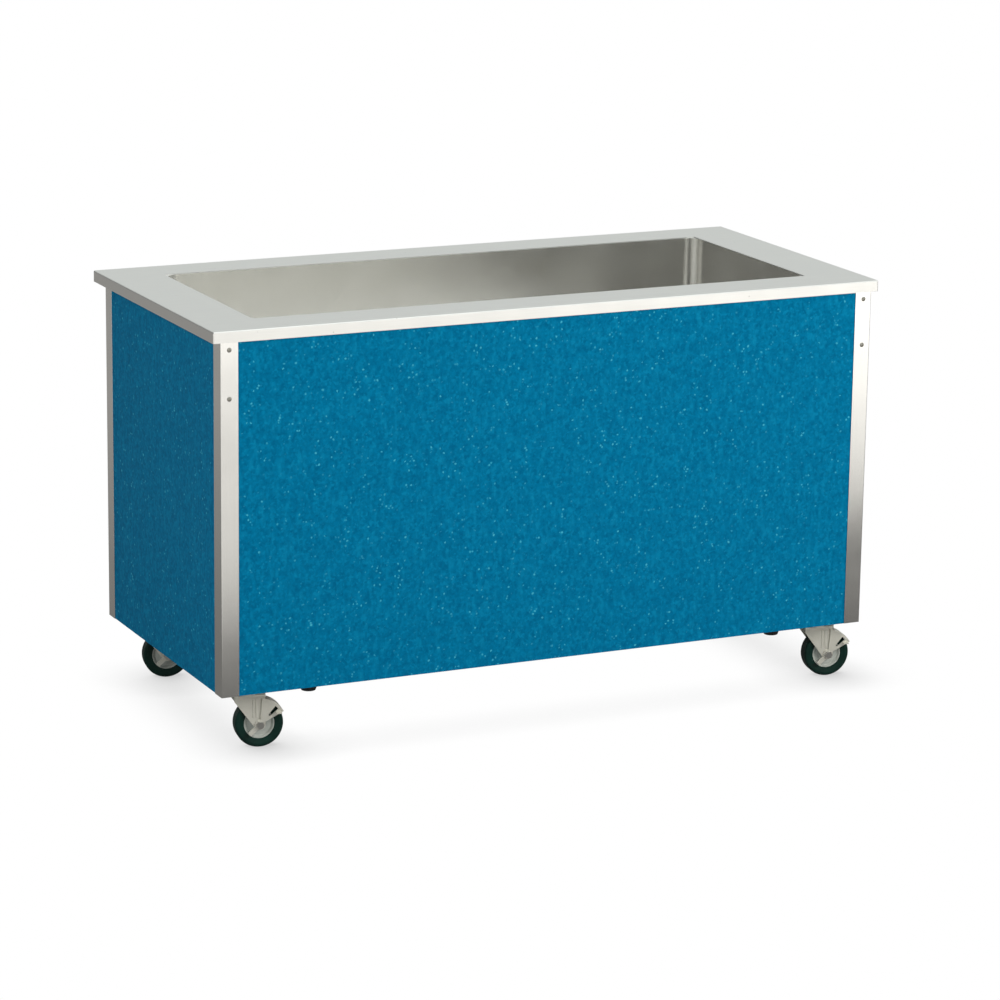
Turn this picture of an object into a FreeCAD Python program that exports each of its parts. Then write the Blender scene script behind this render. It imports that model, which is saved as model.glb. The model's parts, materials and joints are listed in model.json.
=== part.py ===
import FreeCAD, Part
import math
import os
import re

import Sketcher

# A mobile salad bar: a laminate-clad cabinet on four swivel casters, under a stainless counter
# with one long insulated ice well. Millimetres. The origin is on the floor under the centre of
# the counter, +X runs along the counter, -Y is the front (customer) side and +Z is up.

doc = FreeCAD.newDocument("mobile_salad_bar")
sizes = doc.addObject("Spreadsheet::Sheet", "Sizes")

DRIVING_SIZES = {
    # counter and its opening
    "counter_long": 1524, "counter_deep": 711, "counter_high": 889, "counter_gauge": 1.6,
    "skirt_drop": 24, "hem_wide": 10, "bend_round": 3,
    "end_overhang": 16, "back_overhang": 30,
    "end_border": 124, "side_border": 101.5,
    # ice well, its foam and its casing
    "well_deep": 210, "liner_gauge": 1.2, "well_corner_round": 28, "well_floor_round": 15,
    "liner_flange_wide": 28, "foam_thick": 25, "foam_gap": 0.3, "casing_gauge": 1,
    # drain under the well
    "drain_across": 0, "drain_back": 150, "drain_flange_radius": 38, "drain_flange_thick": 2,
    "tail_radius": 24, "tail_bore": 20, "tail_long": 66, "drain_hole_gap": 0.3,
    "seat_radius": 31, "seat_drop": 1.2,
    "strainer_radius": 30.7, "strainer_thick": 2, "strainer_hole_radius": 2.5,
    "strainer_ring_radius": 16, "strainer_inner_ring_radius": 9,
    "strainer_hole_count": 16, "strainer_inner_hole_count": 8,
    "locknut_flats": 60, "locknut_thick": 8,
    "valve_core_radius": 23, "valve_core_long": 40, "valve_hex_flats": 38, "valve_hex_long": 14,
    "valve_bore": 8.5, "ball_radius": 14, "ball_gap": 0.3,
    "stem_radius": 4, "running_gap": 0.05, "stem_long": 34, "stem_root": 1, "stem_boss_radius": 9,
    "stem_boss_long": 4,
    "handle_long": 112, "handle_wide": 16, "handle_thick": 3, "grip_long": 78, "grip_wall": 2,
    "outlet_radius": 13.35, "outlet_bore": 10.4, "outlet_long": 44,
    # cabinet skin
    "post_wide": 38.1, "post_gauge": 1.6, "post_round": 2.4, "panel_thick": 12.7,
    "screw_below_skirt": 15, "screw_pitch": 100, "screw_radius": 2.4, "screw_hole_gap": 0.1,
    "screw_long": 12, "screw_head_radius": 5, "screw_head_high": 1.5, "screw_dome_round": 1.2,
    # frame
    "top_rail_wide": 25.4, "top_rail_high": 25.4, "top_rail_wall": 1.6,
    "base_high": 45, "bolster_gauge": 3, "base_rail_wide": 35, "base_rail_gauge": 2,
    "shelf_gauge": 1.2, "hose_hole_radius": 22,
    "pad_across": 543, "pad_top_radius": 20, "pad_foot_radius": 15, "pad_high": 13,
    # casters
    "caster_high": 130, "kingpin_end_inset": 76, "kingpin_side_inset": 68, "caster_turn": 10,
    "wheel_radius": 50.8, "wheel_wide": 31.75, "trail": 28,
    "plate_across": 67, "plate_along": 92, "plate_gauge": 3.2, "plate_round": 6,
    "bolt_across": 47, "bolt_along": 73, "bolt_radius": 4, "bolt_hole_gap": 0.3,
    "bolt_flats": 12.7, "bolt_head_high": 5.4, "bolt_nut_high": 6.4, "bolt_tip": 1,
    "cup_radius": 28, "cup_wall": 3.5, "cup_drop": 9.8, "race_drop": 5.3,
    "kingpin_radius": 6, "kingpin_head_radius": 10, "kingpin_head_high": 3.5,
    "race_radius": 19, "bearing_ball_radius": 2.4, "bearing_ball_pitch": 5.8, "swivel_gap": 0.3,
    "fork_gauge": 3, "fork_inside": 37, "fork_front": 25, "fork_shoulder": 12,
    "fork_bend": 5, "fork_inner_bend": 2, "crown_radius": 27, "boss_radius": 12,
    "axle_radius": 4.75, "sleeve_radius": 7.5, "axle_flats": 14.3, "axle_head_high": 6,
    "axle_nut_high": 7, "axle_tip": 3,
    "hub_radius": 32, "hub_half_wide": 13, "hub_rim_thick": 6, "hub_boss_radius": 13,
    "hub_boss_half_long": 17, "hub_web_half": 8.5,
    "tyre_foot_half": 13.5, "tyre_bulge_radius": 42, "tread_round": 5,
    "brake_gauge": 3, "brake_boss_radius": 11, "hood_gap": 2.7, "hood_thick": 2.5,
    "hood_low_angle": 28, "hood_high_angle": 74, "cheek_high_angle": 86, "hood_past_centre": 6,
    "window_inner": 26, "window_margin": 3.5, "window_low_angle": 40, "window_high_angle": 50,
    "brake_tail_long": 30, "brake_tail_half": 5, "brake_tail_angle": 222,
    "pedal_long": 12, "pedal_wide": 9, "pedal_thick": 3,
}
for row, (alias, size) in enumerate(DRIVING_SIZES.items(), start=1):
    cell = f"B{row}"
    sizes.set(f"A{row}", alias.replace("_", " "))
    sizes.set(cell, str(size))
    sizes.setAlias(cell, alias)
doc.recompute()

# Places worked out from the driving sizes, as expressions in the sheet's own names.
COUNTER_UNDER = "(counter_high - counter_gauge)"
SKIRT_FOOT = "(counter_high - skirt_drop)"
BODY_END = "(counter_long / 2 - end_overhang)"
BODY_FRONT = "(counter_deep / 2 - counter_gauge)"
BODY_BACK = "(counter_deep / 2 - back_overhang)"
PANEL_END = f"({BODY_END} - post_gauge)"
PANEL_FRONT = f"({BODY_FRONT} - post_gauge)"
INSIDE_END = f"({PANEL_END} - panel_thick)"
INSIDE_FRONT = f"({PANEL_FRONT} - panel_thick)"
INSIDE_BACK = f"({BODY_BACK} - post_gauge)"
POST_SCREW_X = f"({BODY_END} - post_wide / 2)"
POST_SCREW_Z = f"({SKIRT_FOOT} - screw_below_skirt)"
KINGPIN_X = f"({BODY_END} - kingpin_end_inset)"
KINGPIN_FRONT_Y = f"({BODY_FRONT} - kingpin_side_inset)"
KINGPIN_BACK_Y = f"({BODY_BACK} - kingpin_side_inset)"
BOLSTER_HALF = f"({INSIDE_END} - {KINGPIN_X})"
BOLSTER_INNER = f"({KINGPIN_X} - {BOLSTER_HALF})"
BASE_TOP = "(caster_high + base_high)"
WELL_FLOOR = "(counter_high - well_deep)"
OPENING_X = "(counter_long / 2 - end_border)"
OPENING_Y = "(counter_deep / 2 - side_border)"
LINER_X = f"({OPENING_X} + liner_gauge)"
LINER_Y = f"({OPENING_Y} + liner_gauge)"
LINER_FOOT = f"({WELL_FLOOR} - liner_gauge)"
FLANGE_UNDER = f"({COUNTER_UNDER} - liner_gauge)"
FOAM_IN_X = f"({LINER_X} + foam_gap)"
FOAM_IN_Y = f"({LINER_Y} + foam_gap)"
FOAM_FLOOR = f"({LINER_FOOT} - foam_gap)"
FOAM_X = f"({FOAM_IN_X} + foam_thick)"
FOAM_Y = f"({FOAM_IN_Y} + foam_thick)"
FOAM_FOOT = f"({FOAM_FLOOR} - foam_thick)"
CASING_X = f"({FOAM_X} + casing_gauge)"
CASING_Y = f"({FOAM_Y} + casing_gauge)"
CASING_FOOT = f"({FOAM_FOOT} - casing_gauge)"
TAIL_FOOT = f"({WELL_FLOOR} - tail_long)"
VALVE_TOP_HEX = f"({TAIL_FOOT} - valve_hex_long)"
VALVE_CENTRE = f"({VALVE_TOP_HEX} - valve_core_long / 2)"
VALVE_LOW_HEX = f"({VALVE_TOP_HEX} - valve_core_long)"
VALVE_FOOT = f"({VALVE_LOW_HEX} - valve_hex_long)"
PLATE_UNDER = "(caster_high - plate_gauge)"
CUP_CEILING = f"({PLATE_UNDER} - race_drop)"
CROWN_TOP = f"({CUP_CEILING} - 2 * bearing_ball_radius - 2 * running_gap)"
CROWN_UNDER = f"({CROWN_TOP} - fork_gauge)"
FORK_OUTSIDE = "(fork_inside / 2 + fork_gauge)"
BRAKE_FACE = f"({FORK_OUTSIDE} + swivel_gap)"
BRAKE_OUTSIDE = f"({BRAKE_FACE} + brake_gauge)"
AXLE_HEAD_SEAT = f"({BRAKE_OUTSIDE} + swivel_gap)"
HOOD_INNER = "(wheel_radius + hood_gap)"
HOOD_OUTER = f"({HOOD_INNER} + hood_thick)"

finished = []


def bound(text):
    """The expression with every size name pointing at its cell in the sheet."""
    return re.sub(r"[a-z_]{4,}", lambda m: f"Sizes.{m[0]}" if m[0] in DRIVING_SIZES else m[0], text)


def number(text):
    """The value that an expression has now."""
    found = sizes.evalExpression(bound(str(text)))
    return float(found.Value if hasattr(found, "Value") else found)


def bind(thing, prop, text):
    """Ties one property to the sheet."""
    thing.setExpression(prop, bound(str(text)))


def place(thing, across="0", depth="0", height="0", turn=None, axis=(0, 0, 1)):
    """Ties an object's place, and its turn about one axis, to the sheet."""
    start = FreeCAD.Vector(number(across), number(depth), number(height))
    rotation = FreeCAD.Rotation(FreeCAD.Vector(*axis), number(turn) if turn else 0)
    thing.Placement = FreeCAD.Placement(start, rotation)
    bind(thing, "Placement.Base.x", across)
    bind(thing, "Placement.Base.y", depth)
    bind(thing, "Placement.Base.z", height)
    if turn:
        bind(thing, "Placement.Rotation.Angle", turn)


def new_body(name):
    body = doc.addObject("PartDesign::Body", name)
    body.Label = name
    body.AllowCompound = True
    return body


def new_sketch(body, plane, name, offset="0"):
    """A sketch on one of the body's own planes, moved along that plane's normal."""
    sketch = body.newObject("Sketcher::SketchObject", f"{body.Name}_{name}")
    origin_plane = [item for item in body.Origin.OriginFeatures if item.Role == plane][0]
    sketch.AttachmentSupport = [(origin_plane, "")]
    sketch.MapMode = "FlatFace"
    sketch.AttachmentOffset = FreeCAD.Placement(
        FreeCAD.Vector(0, 0, number(offset)), FreeCAD.Rotation())
    bind(sketch, "AttachmentOffset.Base.z", offset)
    return sketch


def hold_point(sketch, curve, end, across, up):
    """Dimensions one point of a curve from the sketch's origin."""
    for kind, text in (("DistanceX", across), ("DistanceY", up)):
        index = sketch.addConstraint(Sketcher.Constraint(kind, -1, 1, curve, end, number(text)))
        sketch.setExpression(f"Constraints[{index}]", bound(text))


def hold_radius(sketch, curve, text):
    index = sketch.addConstraint(Sketcher.Constraint("Radius", curve, number(text)))
    sketch.setExpression(f"Constraints[{index}]", bound(text))


def polygon(sketch, corners):
    """A closed outline through corners given as pairs of expressions."""
    spots = [FreeCAD.Vector(number(across), number(up), 0) for across, up in corners]
    count = len(corners)
    first = sketch.GeometryCount
    for index in range(count):
        sketch.addGeometry(Part.LineSegment(spots[index], spots[(index + 1) % count]), False)
    for index in range(count):
        following = first + (index + 1) % count
        sketch.addConstraint(
            Sketcher.Constraint("Coincident", first + index, 2, following, 1))
    for index, (across, up) in enumerate(corners):
        hold_point(sketch, first + index, 1, across, up)


def rectangle(sketch, left, right, low, high):
    polygon(sketch, [(left, low), (right, low), (right, high), (left, high)])


def circle(sketch, across, up, radius):
    centre = FreeCAD.Vector(number(across), number(up), 0)
    index = sketch.addGeometry(
        Part.Circle(centre, FreeCAD.Vector(0, 0, 1), number(radius)), False)
    hold_point(sketch, index, 3, across, up)
    hold_radius(sketch, index, radius)


def rounded_rectangle(sketch, half_across, half_up, radius):
    """A rectangle centred on the origin, with four tangent corner arcs."""
    x, y, r = number(half_across), number(half_up), number(radius)
    first = sketch.GeometryCount
    turns = [(1, 1, 0), (-1, 1, 90), (-1, -1, 180), (1, -1, 270)]
    for side_x, side_y, start in turns:
        centre = FreeCAD.Vector(side_x * (x - r), side_y * (y - r), 0)
        whole = Part.Circle(centre, FreeCAD.Vector(0, 0, 1), r)
        arc = Part.ArcOfCircle(whole, math.radians(start), math.radians(start + 90))
        sketch.addGeometry(arc, False)
    for index in range(4):
        end = sketch.Geometry[first + index].EndPoint
        start = sketch.Geometry[first + (index + 1) % 4].StartPoint
        sketch.addGeometry(Part.LineSegment(end, start), False)
    for index, (side_x, side_y, _) in enumerate(turns):
        arc, line, following = first + index, first + 4 + index, first + (index + 1) % 4
        sketch.addConstraint(Sketcher.Constraint("Tangent", arc, 2, line, 1))
        sketch.addConstraint(Sketcher.Constraint("Tangent", line, 2, following, 1))
        across = f"{side_x} * ({half_across} - {radius})"
        up = f"{side_y} * ({half_up} - {radius})"
        hold_point(sketch, arc, 3, across, up)
        hold_radius(sketch, arc, radius)


def settle(feature):
    """Recomputes, and stops where the new feature has failed."""
    doc.recompute()
    if "Invalid" in feature.State or "Error" in feature.State:
        raise RuntimeError(f"{feature.Name} failed: {feature.State}")
    return feature


def pad(body, sketch, length, reverse=False, midplane=False):
    feature = body.newObject("PartDesign::Pad", f"{sketch.Name}_pad")
    feature.Profile = sketch
    bind(feature, "Length", length)
    feature.Reversed = reverse
    feature.Midplane = midplane
    return settle(feature)


def pocket(body, sketch, length=None, reverse=False, midplane=False):
    """Cuts a sketch out of the body, right through it where no length is given."""
    before = body.Shape.Volume
    feature = body.newObject("PartDesign::Pocket", f"{sketch.Name}_pocket")
    feature.Profile = sketch
    if length is None:
        feature.Type = "ThroughAll"
    else:
        bind(feature, "Length", length)
    feature.Reversed = reverse
    feature.Midplane = midplane
    settle(feature)
    if body.Shape.Volume >= before - 1e-6:
        raise RuntimeError(f"{feature.Name} cuts nothing")
    return feature


def revolve(body, sketch, about="V_Axis"):
    feature = body.newObject("PartDesign::Revolution", f"{sketch.Name}_turned")
    feature.Profile = sketch
    feature.ReferenceAxis = (sketch, [about])
    feature.Angle = 360
    return settle(feature)


def fillet(body, name, radius, chosen):
    """Rounds the edges for which chosen(edge) is true."""
    base = body.Tip
    edges = [f"Edge{index}" for index, edge in enumerate(base.Shape.Edges, start=1) if chosen(edge)]
    if not edges:
        raise RuntimeError(f"{body.Label}: no edge for {name}")
    feature = body.newObject("PartDesign::Fillet", f"{body.Name}_{name}")
    feature.Base = (base, edges)
    bind(feature, "Radius", radius)
    return settle(feature)


def runs_along(edge, direction):
    """Whether an edge is straight and parallel to a direction."""
    if not isinstance(edge.Curve, (Part.Line, Part.LineSegment)):
        return False
    return edge.tangentAt(edge.FirstParameter).cross(FreeCAD.Vector(*direction)).Length < 1e-6


def near(first, second):
    return abs(first - second) < 1e-4


def finish(thing, label):
    thing.Label = label
    finished.append(thing)
    return thing


def make_counter_top():
    """Counter sheet with the well opening, turned-down skirt and a return hem."""
    half_long, half_deep = "counter_long / 2", "counter_deep / 2"
    inner_long, inner_deep = "(counter_long / 2 - counter_gauge)", BODY_FRONT
    body = new_body("counter_top")
    sheet = new_sketch(body, "XY_Plane", "sheet", COUNTER_UNDER)
    rectangle(sheet, f"-{half_long}", half_long, f"-{half_deep}", half_deep)
    rectangle(sheet, f"-{OPENING_X}", OPENING_X, f"-{OPENING_Y}", OPENING_Y)
    pad(body, sheet, "counter_gauge")
    skirt = new_sketch(body, "XY_Plane", "skirt", SKIRT_FOOT)
    rectangle(skirt, f"-{half_long}", half_long, f"-{half_deep}", half_deep)
    rectangle(skirt, f"-{inner_long}", inner_long, f"-{inner_deep}", inner_deep)
    pad(body, skirt, "skirt_drop - counter_gauge")
    hem = new_sketch(body, "XY_Plane", "hem", SKIRT_FOOT)
    hem_x, hem_y = f"({inner_long} - hem_wide)", f"({inner_deep} - hem_wide)"
    polygon(hem, [
        (f"-{inner_long}", f"-{inner_deep}"), (f"-{hem_x}", f"-{inner_deep}"),
        (f"-{hem_x}", hem_y), (hem_x, hem_y), (hem_x, f"-{inner_deep}"),
        (inner_long, f"-{inner_deep}"), (inner_long, inner_deep), (f"-{inner_long}", inner_deep)])
    pad(body, hem, "counter_gauge")
    top, end, front = number("counter_high"), number(half_long), number(half_deep)

    def outer_bend(edge):
        middle = edge.CenterOfMass
        at_end, at_front = near(abs(middle.x), end), near(abs(middle.y), front)
        upright = runs_along(edge, (0, 0, 1)) and at_end and at_front
        return upright or (near(middle.z, top) and (at_end or at_front))

    fillet(body, "bends", "bend_round", outer_bend)
    finish(body, "counter_top")


def rounded_block(name, half_across, half_up, side_round, foot, top, foot_round):
    """A tub-shaped block with rounded upright corners and a rounded foot."""
    body = new_body(name)
    outline = new_sketch(body, "XY_Plane", "outline", foot)
    rounded_rectangle(outline, half_across, half_up, side_round)
    pad(body, outline, f"{top} - {foot}")
    foot_now = number(foot)
    fillet(body, "foot", foot_round, lambda edge: near(edge.BoundBox.ZMax, foot_now))
    return body


def drain_cutter(name):
    """Clearance cylinder for the drain tail, through every layer of the well floor."""
    cutter = doc.addObject("Part::Cylinder", name)
    bind(cutter, "Radius", "tail_radius + drain_hole_gap")
    bind(cutter, "Height", "tail_long")
    place(cutter, "drain_across", "drain_back", f"{WELL_FLOOR} - tail_long + well_floor_round")
    return cutter


def cut_tub(name, block, cavity):
    """Hollows a block with its cavity and the drain hole."""
    tools = doc.addObject("Part::Fuse", f"{name}_hollow")
    tools.Base, tools.Tool = cavity, drain_cutter(f"{name}_drain_hole")
    tub = doc.addObject("Part::Cut", name)
    tub.Base, tub.Tool = block, tools
    finish(tub, name)


def make_well_liner():
    """One-piece stainless tub with rounded corners and a flange under the counter sheet."""
    block = rounded_block(
        "well_liner_block", LINER_X, LINER_Y, "(well_corner_round + liner_gauge)",
        LINER_FOOT, COUNTER_UNDER, "well_floor_round + liner_gauge")
    flange = new_sketch(block, "XY_Plane", "flange", FLANGE_UNDER)
    flange_x, flange_y = f"({LINER_X} + liner_flange_wide)", f"({LINER_Y} + liner_flange_wide)"
    rectangle(flange, f"-{flange_x}", flange_x, f"-{flange_y}", flange_y)
    pad(block, flange, "liner_gauge")
    cavity = rounded_block(
        "well_liner_cavity", OPENING_X, OPENING_Y, "well_corner_round",
        WELL_FLOOR, "counter_high", "well_floor_round")
    cut_tub("well_liner", block, cavity)


def make_well_insulation():
    """Foam tub that wraps the liner."""
    block = new_body("well_insulation_block")
    outline = new_sketch(block, "XY_Plane", "outline", FOAM_FOOT)
    rectangle(outline, f"-{FOAM_X}", FOAM_X, f"-{FOAM_Y}", FOAM_Y)
    pad(block, outline, f"{FLANGE_UNDER} - {FOAM_FOOT}")
    cavity = rounded_block(
        "well_insulation_cavity", FOAM_IN_X, FOAM_IN_Y,
        "(well_corner_round + liner_gauge + foam_gap)",
        FOAM_FLOOR, "counter_high", "well_floor_round + liner_gauge + foam_gap")
    cut_tub("well_insulation", block, cavity)


def make_well_casing():
    """Outer sheet tub that holds the foam and closes the underside."""
    body = new_body("well_casing")
    block = new_sketch(body, "XY_Plane", "block", CASING_FOOT)
    rectangle(block, f"-{CASING_X}", CASING_X, f"-{CASING_Y}", CASING_Y)
    pad(body, block, f"{FLANGE_UNDER} - {CASING_FOOT}")
    cavity = new_sketch(body, "XY_Plane", "cavity", FLANGE_UNDER)
    rectangle(cavity, f"-{FOAM_X}", FOAM_X, f"-{FOAM_Y}", FOAM_Y)
    pocket(body, cavity, f"{FLANGE_UNDER} - {FOAM_FOOT}")
    hole = new_sketch(body, "XY_Plane", "drain_hole", FOAM_FOOT)
    circle(hole, "drain_across", "drain_back", "tail_radius + drain_hole_gap")
    pocket(body, hole)
    finish(body, "well_casing")


def make_drain_fitting():
    """Flanged drain that stands on the well floor and runs down through foam and casing."""
    body = new_body("drain_fitting")
    profile = new_sketch(body, "XZ_Plane", "profile")
    top = "drain_flange_thick"
    polygon(profile, [
        ("tail_bore", "-tail_long"), ("tail_radius", "-tail_long"), ("tail_radius", "0"),
        ("drain_flange_radius", "0"), ("drain_flange_radius", top), ("seat_radius", top),
        ("seat_radius", f"{top} - seat_drop"), ("tail_bore", f"{top} - seat_drop")])
    revolve(body, profile)
    place(body, "drain_across", "drain_back", WELL_FLOOR)
    finish(body, "drain_fitting")


def make_drain_locknut():
    """Hexagonal nut that clamps the fitting against the casing."""
    hexagon = doc.addObject("Part::Prism", "locknut_hexagon")
    bind(hexagon, "Circumradius", "locknut_flats / 2 / cos(30)")
    bind(hexagon, "Height", "locknut_thick")
    bore = doc.addObject("Part::Cylinder", "locknut_bore")
    bind(bore, "Radius", "tail_radius + running_gap")
    bind(bore, "Height", "locknut_thick")
    nut = doc.addObject("Part::Cut", "drain_locknut")
    nut.Base, nut.Tool = hexagon, bore
    place(nut, "drain_across", "drain_back", f"{CASING_FOOT} - locknut_thick")
    finish(nut, "drain_locknut")


def make_drain_strainer():
    """Perforated disc that drops into the fitting's seat."""
    body = new_body("drain_strainer")
    disc = new_sketch(body, "XY_Plane", "disc")
    circle(disc, "0", "0", "strainer_radius")
    pad(body, disc, "strainer_thick")
    rings = (("outer_hole", "strainer_ring_radius", "strainer_hole_count"),
             ("inner_hole", "strainer_inner_ring_radius", "strainer_inner_hole_count"))
    for name, ring_radius, count in rings:
        hole = new_sketch(body, "XY_Plane", name, "strainer_thick")
        circle(hole, ring_radius, "0", "strainer_hole_radius")
        cut = pocket(body, hole)
        pattern = body.newObject("PartDesign::PolarPattern", f"{body.Name}_{name}s")
        pattern.Originals = [cut]
        pattern.Axis = (hole, ["N_Axis"])
        pattern.Angle = 360
        bind(pattern, "Occurrences", count)
        body.Tip = pattern
        doc.recompute()
    place(body, "drain_across", "drain_back", f"{WELL_FLOOR} + drain_flange_thick - seat_drop")
    finish(body, "drain_strainer")


def make_drain_valve():
    """Ball valve: body, ball with its stem, hand lever and outlet nipple."""
    core = doc.addObject("Part::Cylinder", "valve_core")
    bind(core, "Radius", "valve_core_radius")
    bind(core, "Height", "valve_core_long")
    place(core, "0", "0", "-valve_core_long / 2")
    ends = []
    for name, start in (("upper", "valve_core_long / 2"),
                        ("lower", "-valve_core_long / 2 - valve_hex_long")):
        hexagon = doc.addObject("Part::Prism", f"valve_{name}_hexagon")
        bind(hexagon, "Circumradius", "valve_hex_flats / 2 / cos(30)")
        bind(hexagon, "Height", "valve_hex_long")
        place(hexagon, "0", "0", start)
        ends.append(hexagon)
    boss = doc.addObject("Part::Cylinder", "valve_stem_boss")
    bind(boss, "Radius", "stem_boss_radius")
    bind(boss, "Height", "valve_core_radius + stem_boss_long")
    place(boss, turn="-90", axis=(1, 0, 0))
    outside = doc.addObject("Part::MultiFuse", "valve_outside")
    outside.Shapes = [core, *ends, boss]
    bore = doc.addObject("Part::Cylinder", "valve_bore_cutter")
    bind(bore, "Radius", "valve_bore")
    bind(bore, "Height", "valve_core_long + 2 * valve_hex_long")
    place(bore, "0", "0", "-valve_core_long / 2 - valve_hex_long")
    room = doc.addObject("Part::Sphere", "valve_ball_room")
    bind(room, "Radius", "ball_radius + ball_gap")
    gland = doc.addObject("Part::Cylinder", "valve_stem_gland")
    bind(gland, "Radius", "stem_radius + running_gap")
    bind(gland, "Height", "stem_long")
    place(gland, turn="-90", axis=(1, 0, 0))
    inside = doc.addObject("Part::MultiFuse", "valve_inside")
    inside.Shapes = [bore, room, gland]
    valve = doc.addObject("Part::Cut", "valve_body")
    valve.Base, valve.Tool = outside, inside
    place(valve, "drain_across", "drain_back", VALVE_CENTRE)
    finish(valve, "valve_body")

    ball = doc.addObject("Part::Sphere", "valve_ball_blank")
    bind(ball, "Radius", "ball_radius")
    way = doc.addObject("Part::Cylinder", "valve_ball_way")
    bind(way, "Radius", "valve_bore")
    bind(way, "Height", "2 * ball_radius")
    place(way, "-ball_radius", turn="90", axis=(0, 1, 0))
    bored = doc.addObject("Part::Cut", "valve_ball_bored")
    bored.Base, bored.Tool = ball, way
    stem = doc.addObject("Part::Cylinder", "valve_stem")
    bind(stem, "Radius", "stem_radius")
    bind(stem, "Height", "stem_long - ball_radius + stem_root")
    place(stem, depth="ball_radius - stem_root", turn="-90", axis=(1, 0, 0))
    ball_and_stem = doc.addObject("Part::Fuse", "valve_ball")
    ball_and_stem.Base, ball_and_stem.Tool = bored, stem
    place(ball_and_stem, "drain_across", "drain_back", VALVE_CENTRE)
    finish(ball_and_stem, "valve_ball")

    lever = new_body("valve_lever")
    start = "(valve_core_radius + stem_boss_long + swivel_gap)"
    strip = new_sketch(lever, "XZ_Plane", "strip", f"-{start}")
    rectangle(strip, "-handle_wide / 2", "handle_long", "-handle_wide / 2", "handle_wide / 2")
    circle(strip, "0", "0", "stem_radius + running_gap")
    pad(lever, strip, "handle_thick", reverse=True)
    grip = new_sketch(lever, "XZ_Plane", "grip", f"-({start} - grip_wall)")
    rectangle(grip, "handle_long - grip_long", "handle_long + grip_wall",
              "-handle_wide / 2 - grip_wall", "handle_wide / 2 + grip_wall")
    pad(lever, grip, "handle_thick + 2 * grip_wall", reverse=True)
    tip = number("handle_long + grip_wall")
    fillet(lever, "grip_end", "handle_wide / 2",
           lambda edge: runs_along(edge, (0, 1, 0)) and near(edge.CenterOfMass.x, tip))
    place(lever, "drain_across", "drain_back", VALVE_CENTRE)
    finish(lever, "valve_lever")

    pipe = new_body("drain_outlet")
    wall = new_sketch(pipe, "XY_Plane", "wall", f"{VALVE_FOOT} - outlet_long")
    circle(wall, "0", "0", "outlet_radius")
    circle(wall, "0", "0", "outlet_bore")
    pad(pipe, wall, "outlet_long")
    place(pipe, "drain_across", "drain_back")
    finish(pipe, "drain_outlet")


def make_posts():
    """Four stainless corner angles that lap the panel edges."""
    for end_name, end in (("left", -1), ("right", 1)):
        for side_name, side, corner_y in (("front", -1, BODY_FRONT), ("back", 1, BODY_BACK)):
            name = f"{side_name}_{end_name}_post"
            body = new_body(name)
            angle = new_sketch(body, "XY_Plane", "angle", "caster_high")
            polygon(angle, [
                ("0", "0"), (f"{-end} * post_wide", "0"),
                (f"{-end} * post_wide", f"{-side} * post_gauge"),
                (f"{-end} * post_gauge", f"{-side} * post_gauge"),
                (f"{-end} * post_gauge", f"{-side} * post_wide"), ("0", f"{-side} * post_wide")])
            pad(body, angle, f"{COUNTER_UNDER} - caster_high")
            fillet(body, "bend", "post_round",
                   lambda edge: near(abs(edge.CenterOfMass.x) + abs(edge.CenterOfMass.y), 0))
            if side_name == "front":
                holes = new_sketch(body, "XZ_Plane", "screw_holes")
                for step in (0, 1):
                    circle(holes, f"{-end} * post_wide / 2",
                           f"{POST_SCREW_Z} - {step} * screw_pitch",
                           "screw_radius + screw_hole_gap")
                pocket(body, holes, "4 * post_gauge", midplane=True)
            place(body, f"{end} * {BODY_END}", f"{side} * {corner_y}")
            finish(body, name)


def make_panels():
    """Laminate-faced boards behind the post flanges: front and both ends."""
    front = new_body("front_panel")
    face = new_sketch(front, "XY_Plane", "outline", "caster_high")
    rectangle(face, f"-{PANEL_END}", PANEL_END, f"-{PANEL_FRONT}", f"-{INSIDE_FRONT}")
    pad(front, face, f"{COUNTER_UNDER} - caster_high")
    holes = new_sketch(front, "XZ_Plane", "screw_holes", PANEL_FRONT)
    for end in (-1, 1):
        for step in (0, 1):
            circle(holes, f"{end} * {POST_SCREW_X}", f"{POST_SCREW_Z} - {step} * screw_pitch",
                   "screw_radius + screw_hole_gap")
    pocket(front, holes, "2 * panel_thick", midplane=True)
    finish(front, "front_panel")
    for name, low, high in (("left_panel", f"-{PANEL_END}", f"-{INSIDE_END}"),
                            ("right_panel", INSIDE_END, PANEL_END)):
        body = new_body(name)
        edge = new_sketch(body, "XY_Plane", "outline", "caster_high")
        rectangle(edge, low, high, f"-{INSIDE_FRONT}", INSIDE_BACK)
        pad(body, edge, f"{COUNTER_UNDER} - caster_high")
        finish(body, name)


def make_post_screws():
    """Truss-head screws through the front post flanges into the front panel."""
    body = new_body("post_screws")
    spots = [(f"{end} * {POST_SCREW_X}", f"{POST_SCREW_Z} - {step} * screw_pitch")
             for end in (-1, 1) for step in (0, 1)]
    heads = new_sketch(body, "XZ_Plane", "heads", BODY_FRONT)
    for across, up in spots:
        circle(heads, across, up, "screw_head_radius")
    pad(body, heads, "screw_head_high")
    front = number(f"-{BODY_FRONT} - screw_head_high")
    fillet(body, "domes", "screw_dome_round", lambda edge: near(edge.BoundBox.YMax, front))
    shanks = new_sketch(body, "XZ_Plane", "shanks", BODY_FRONT)
    for across, up in spots:
        circle(shanks, across, up, "screw_radius")
    pad(body, shanks, "screw_long", reverse=True)
    finish(body, "post_screws")


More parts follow.
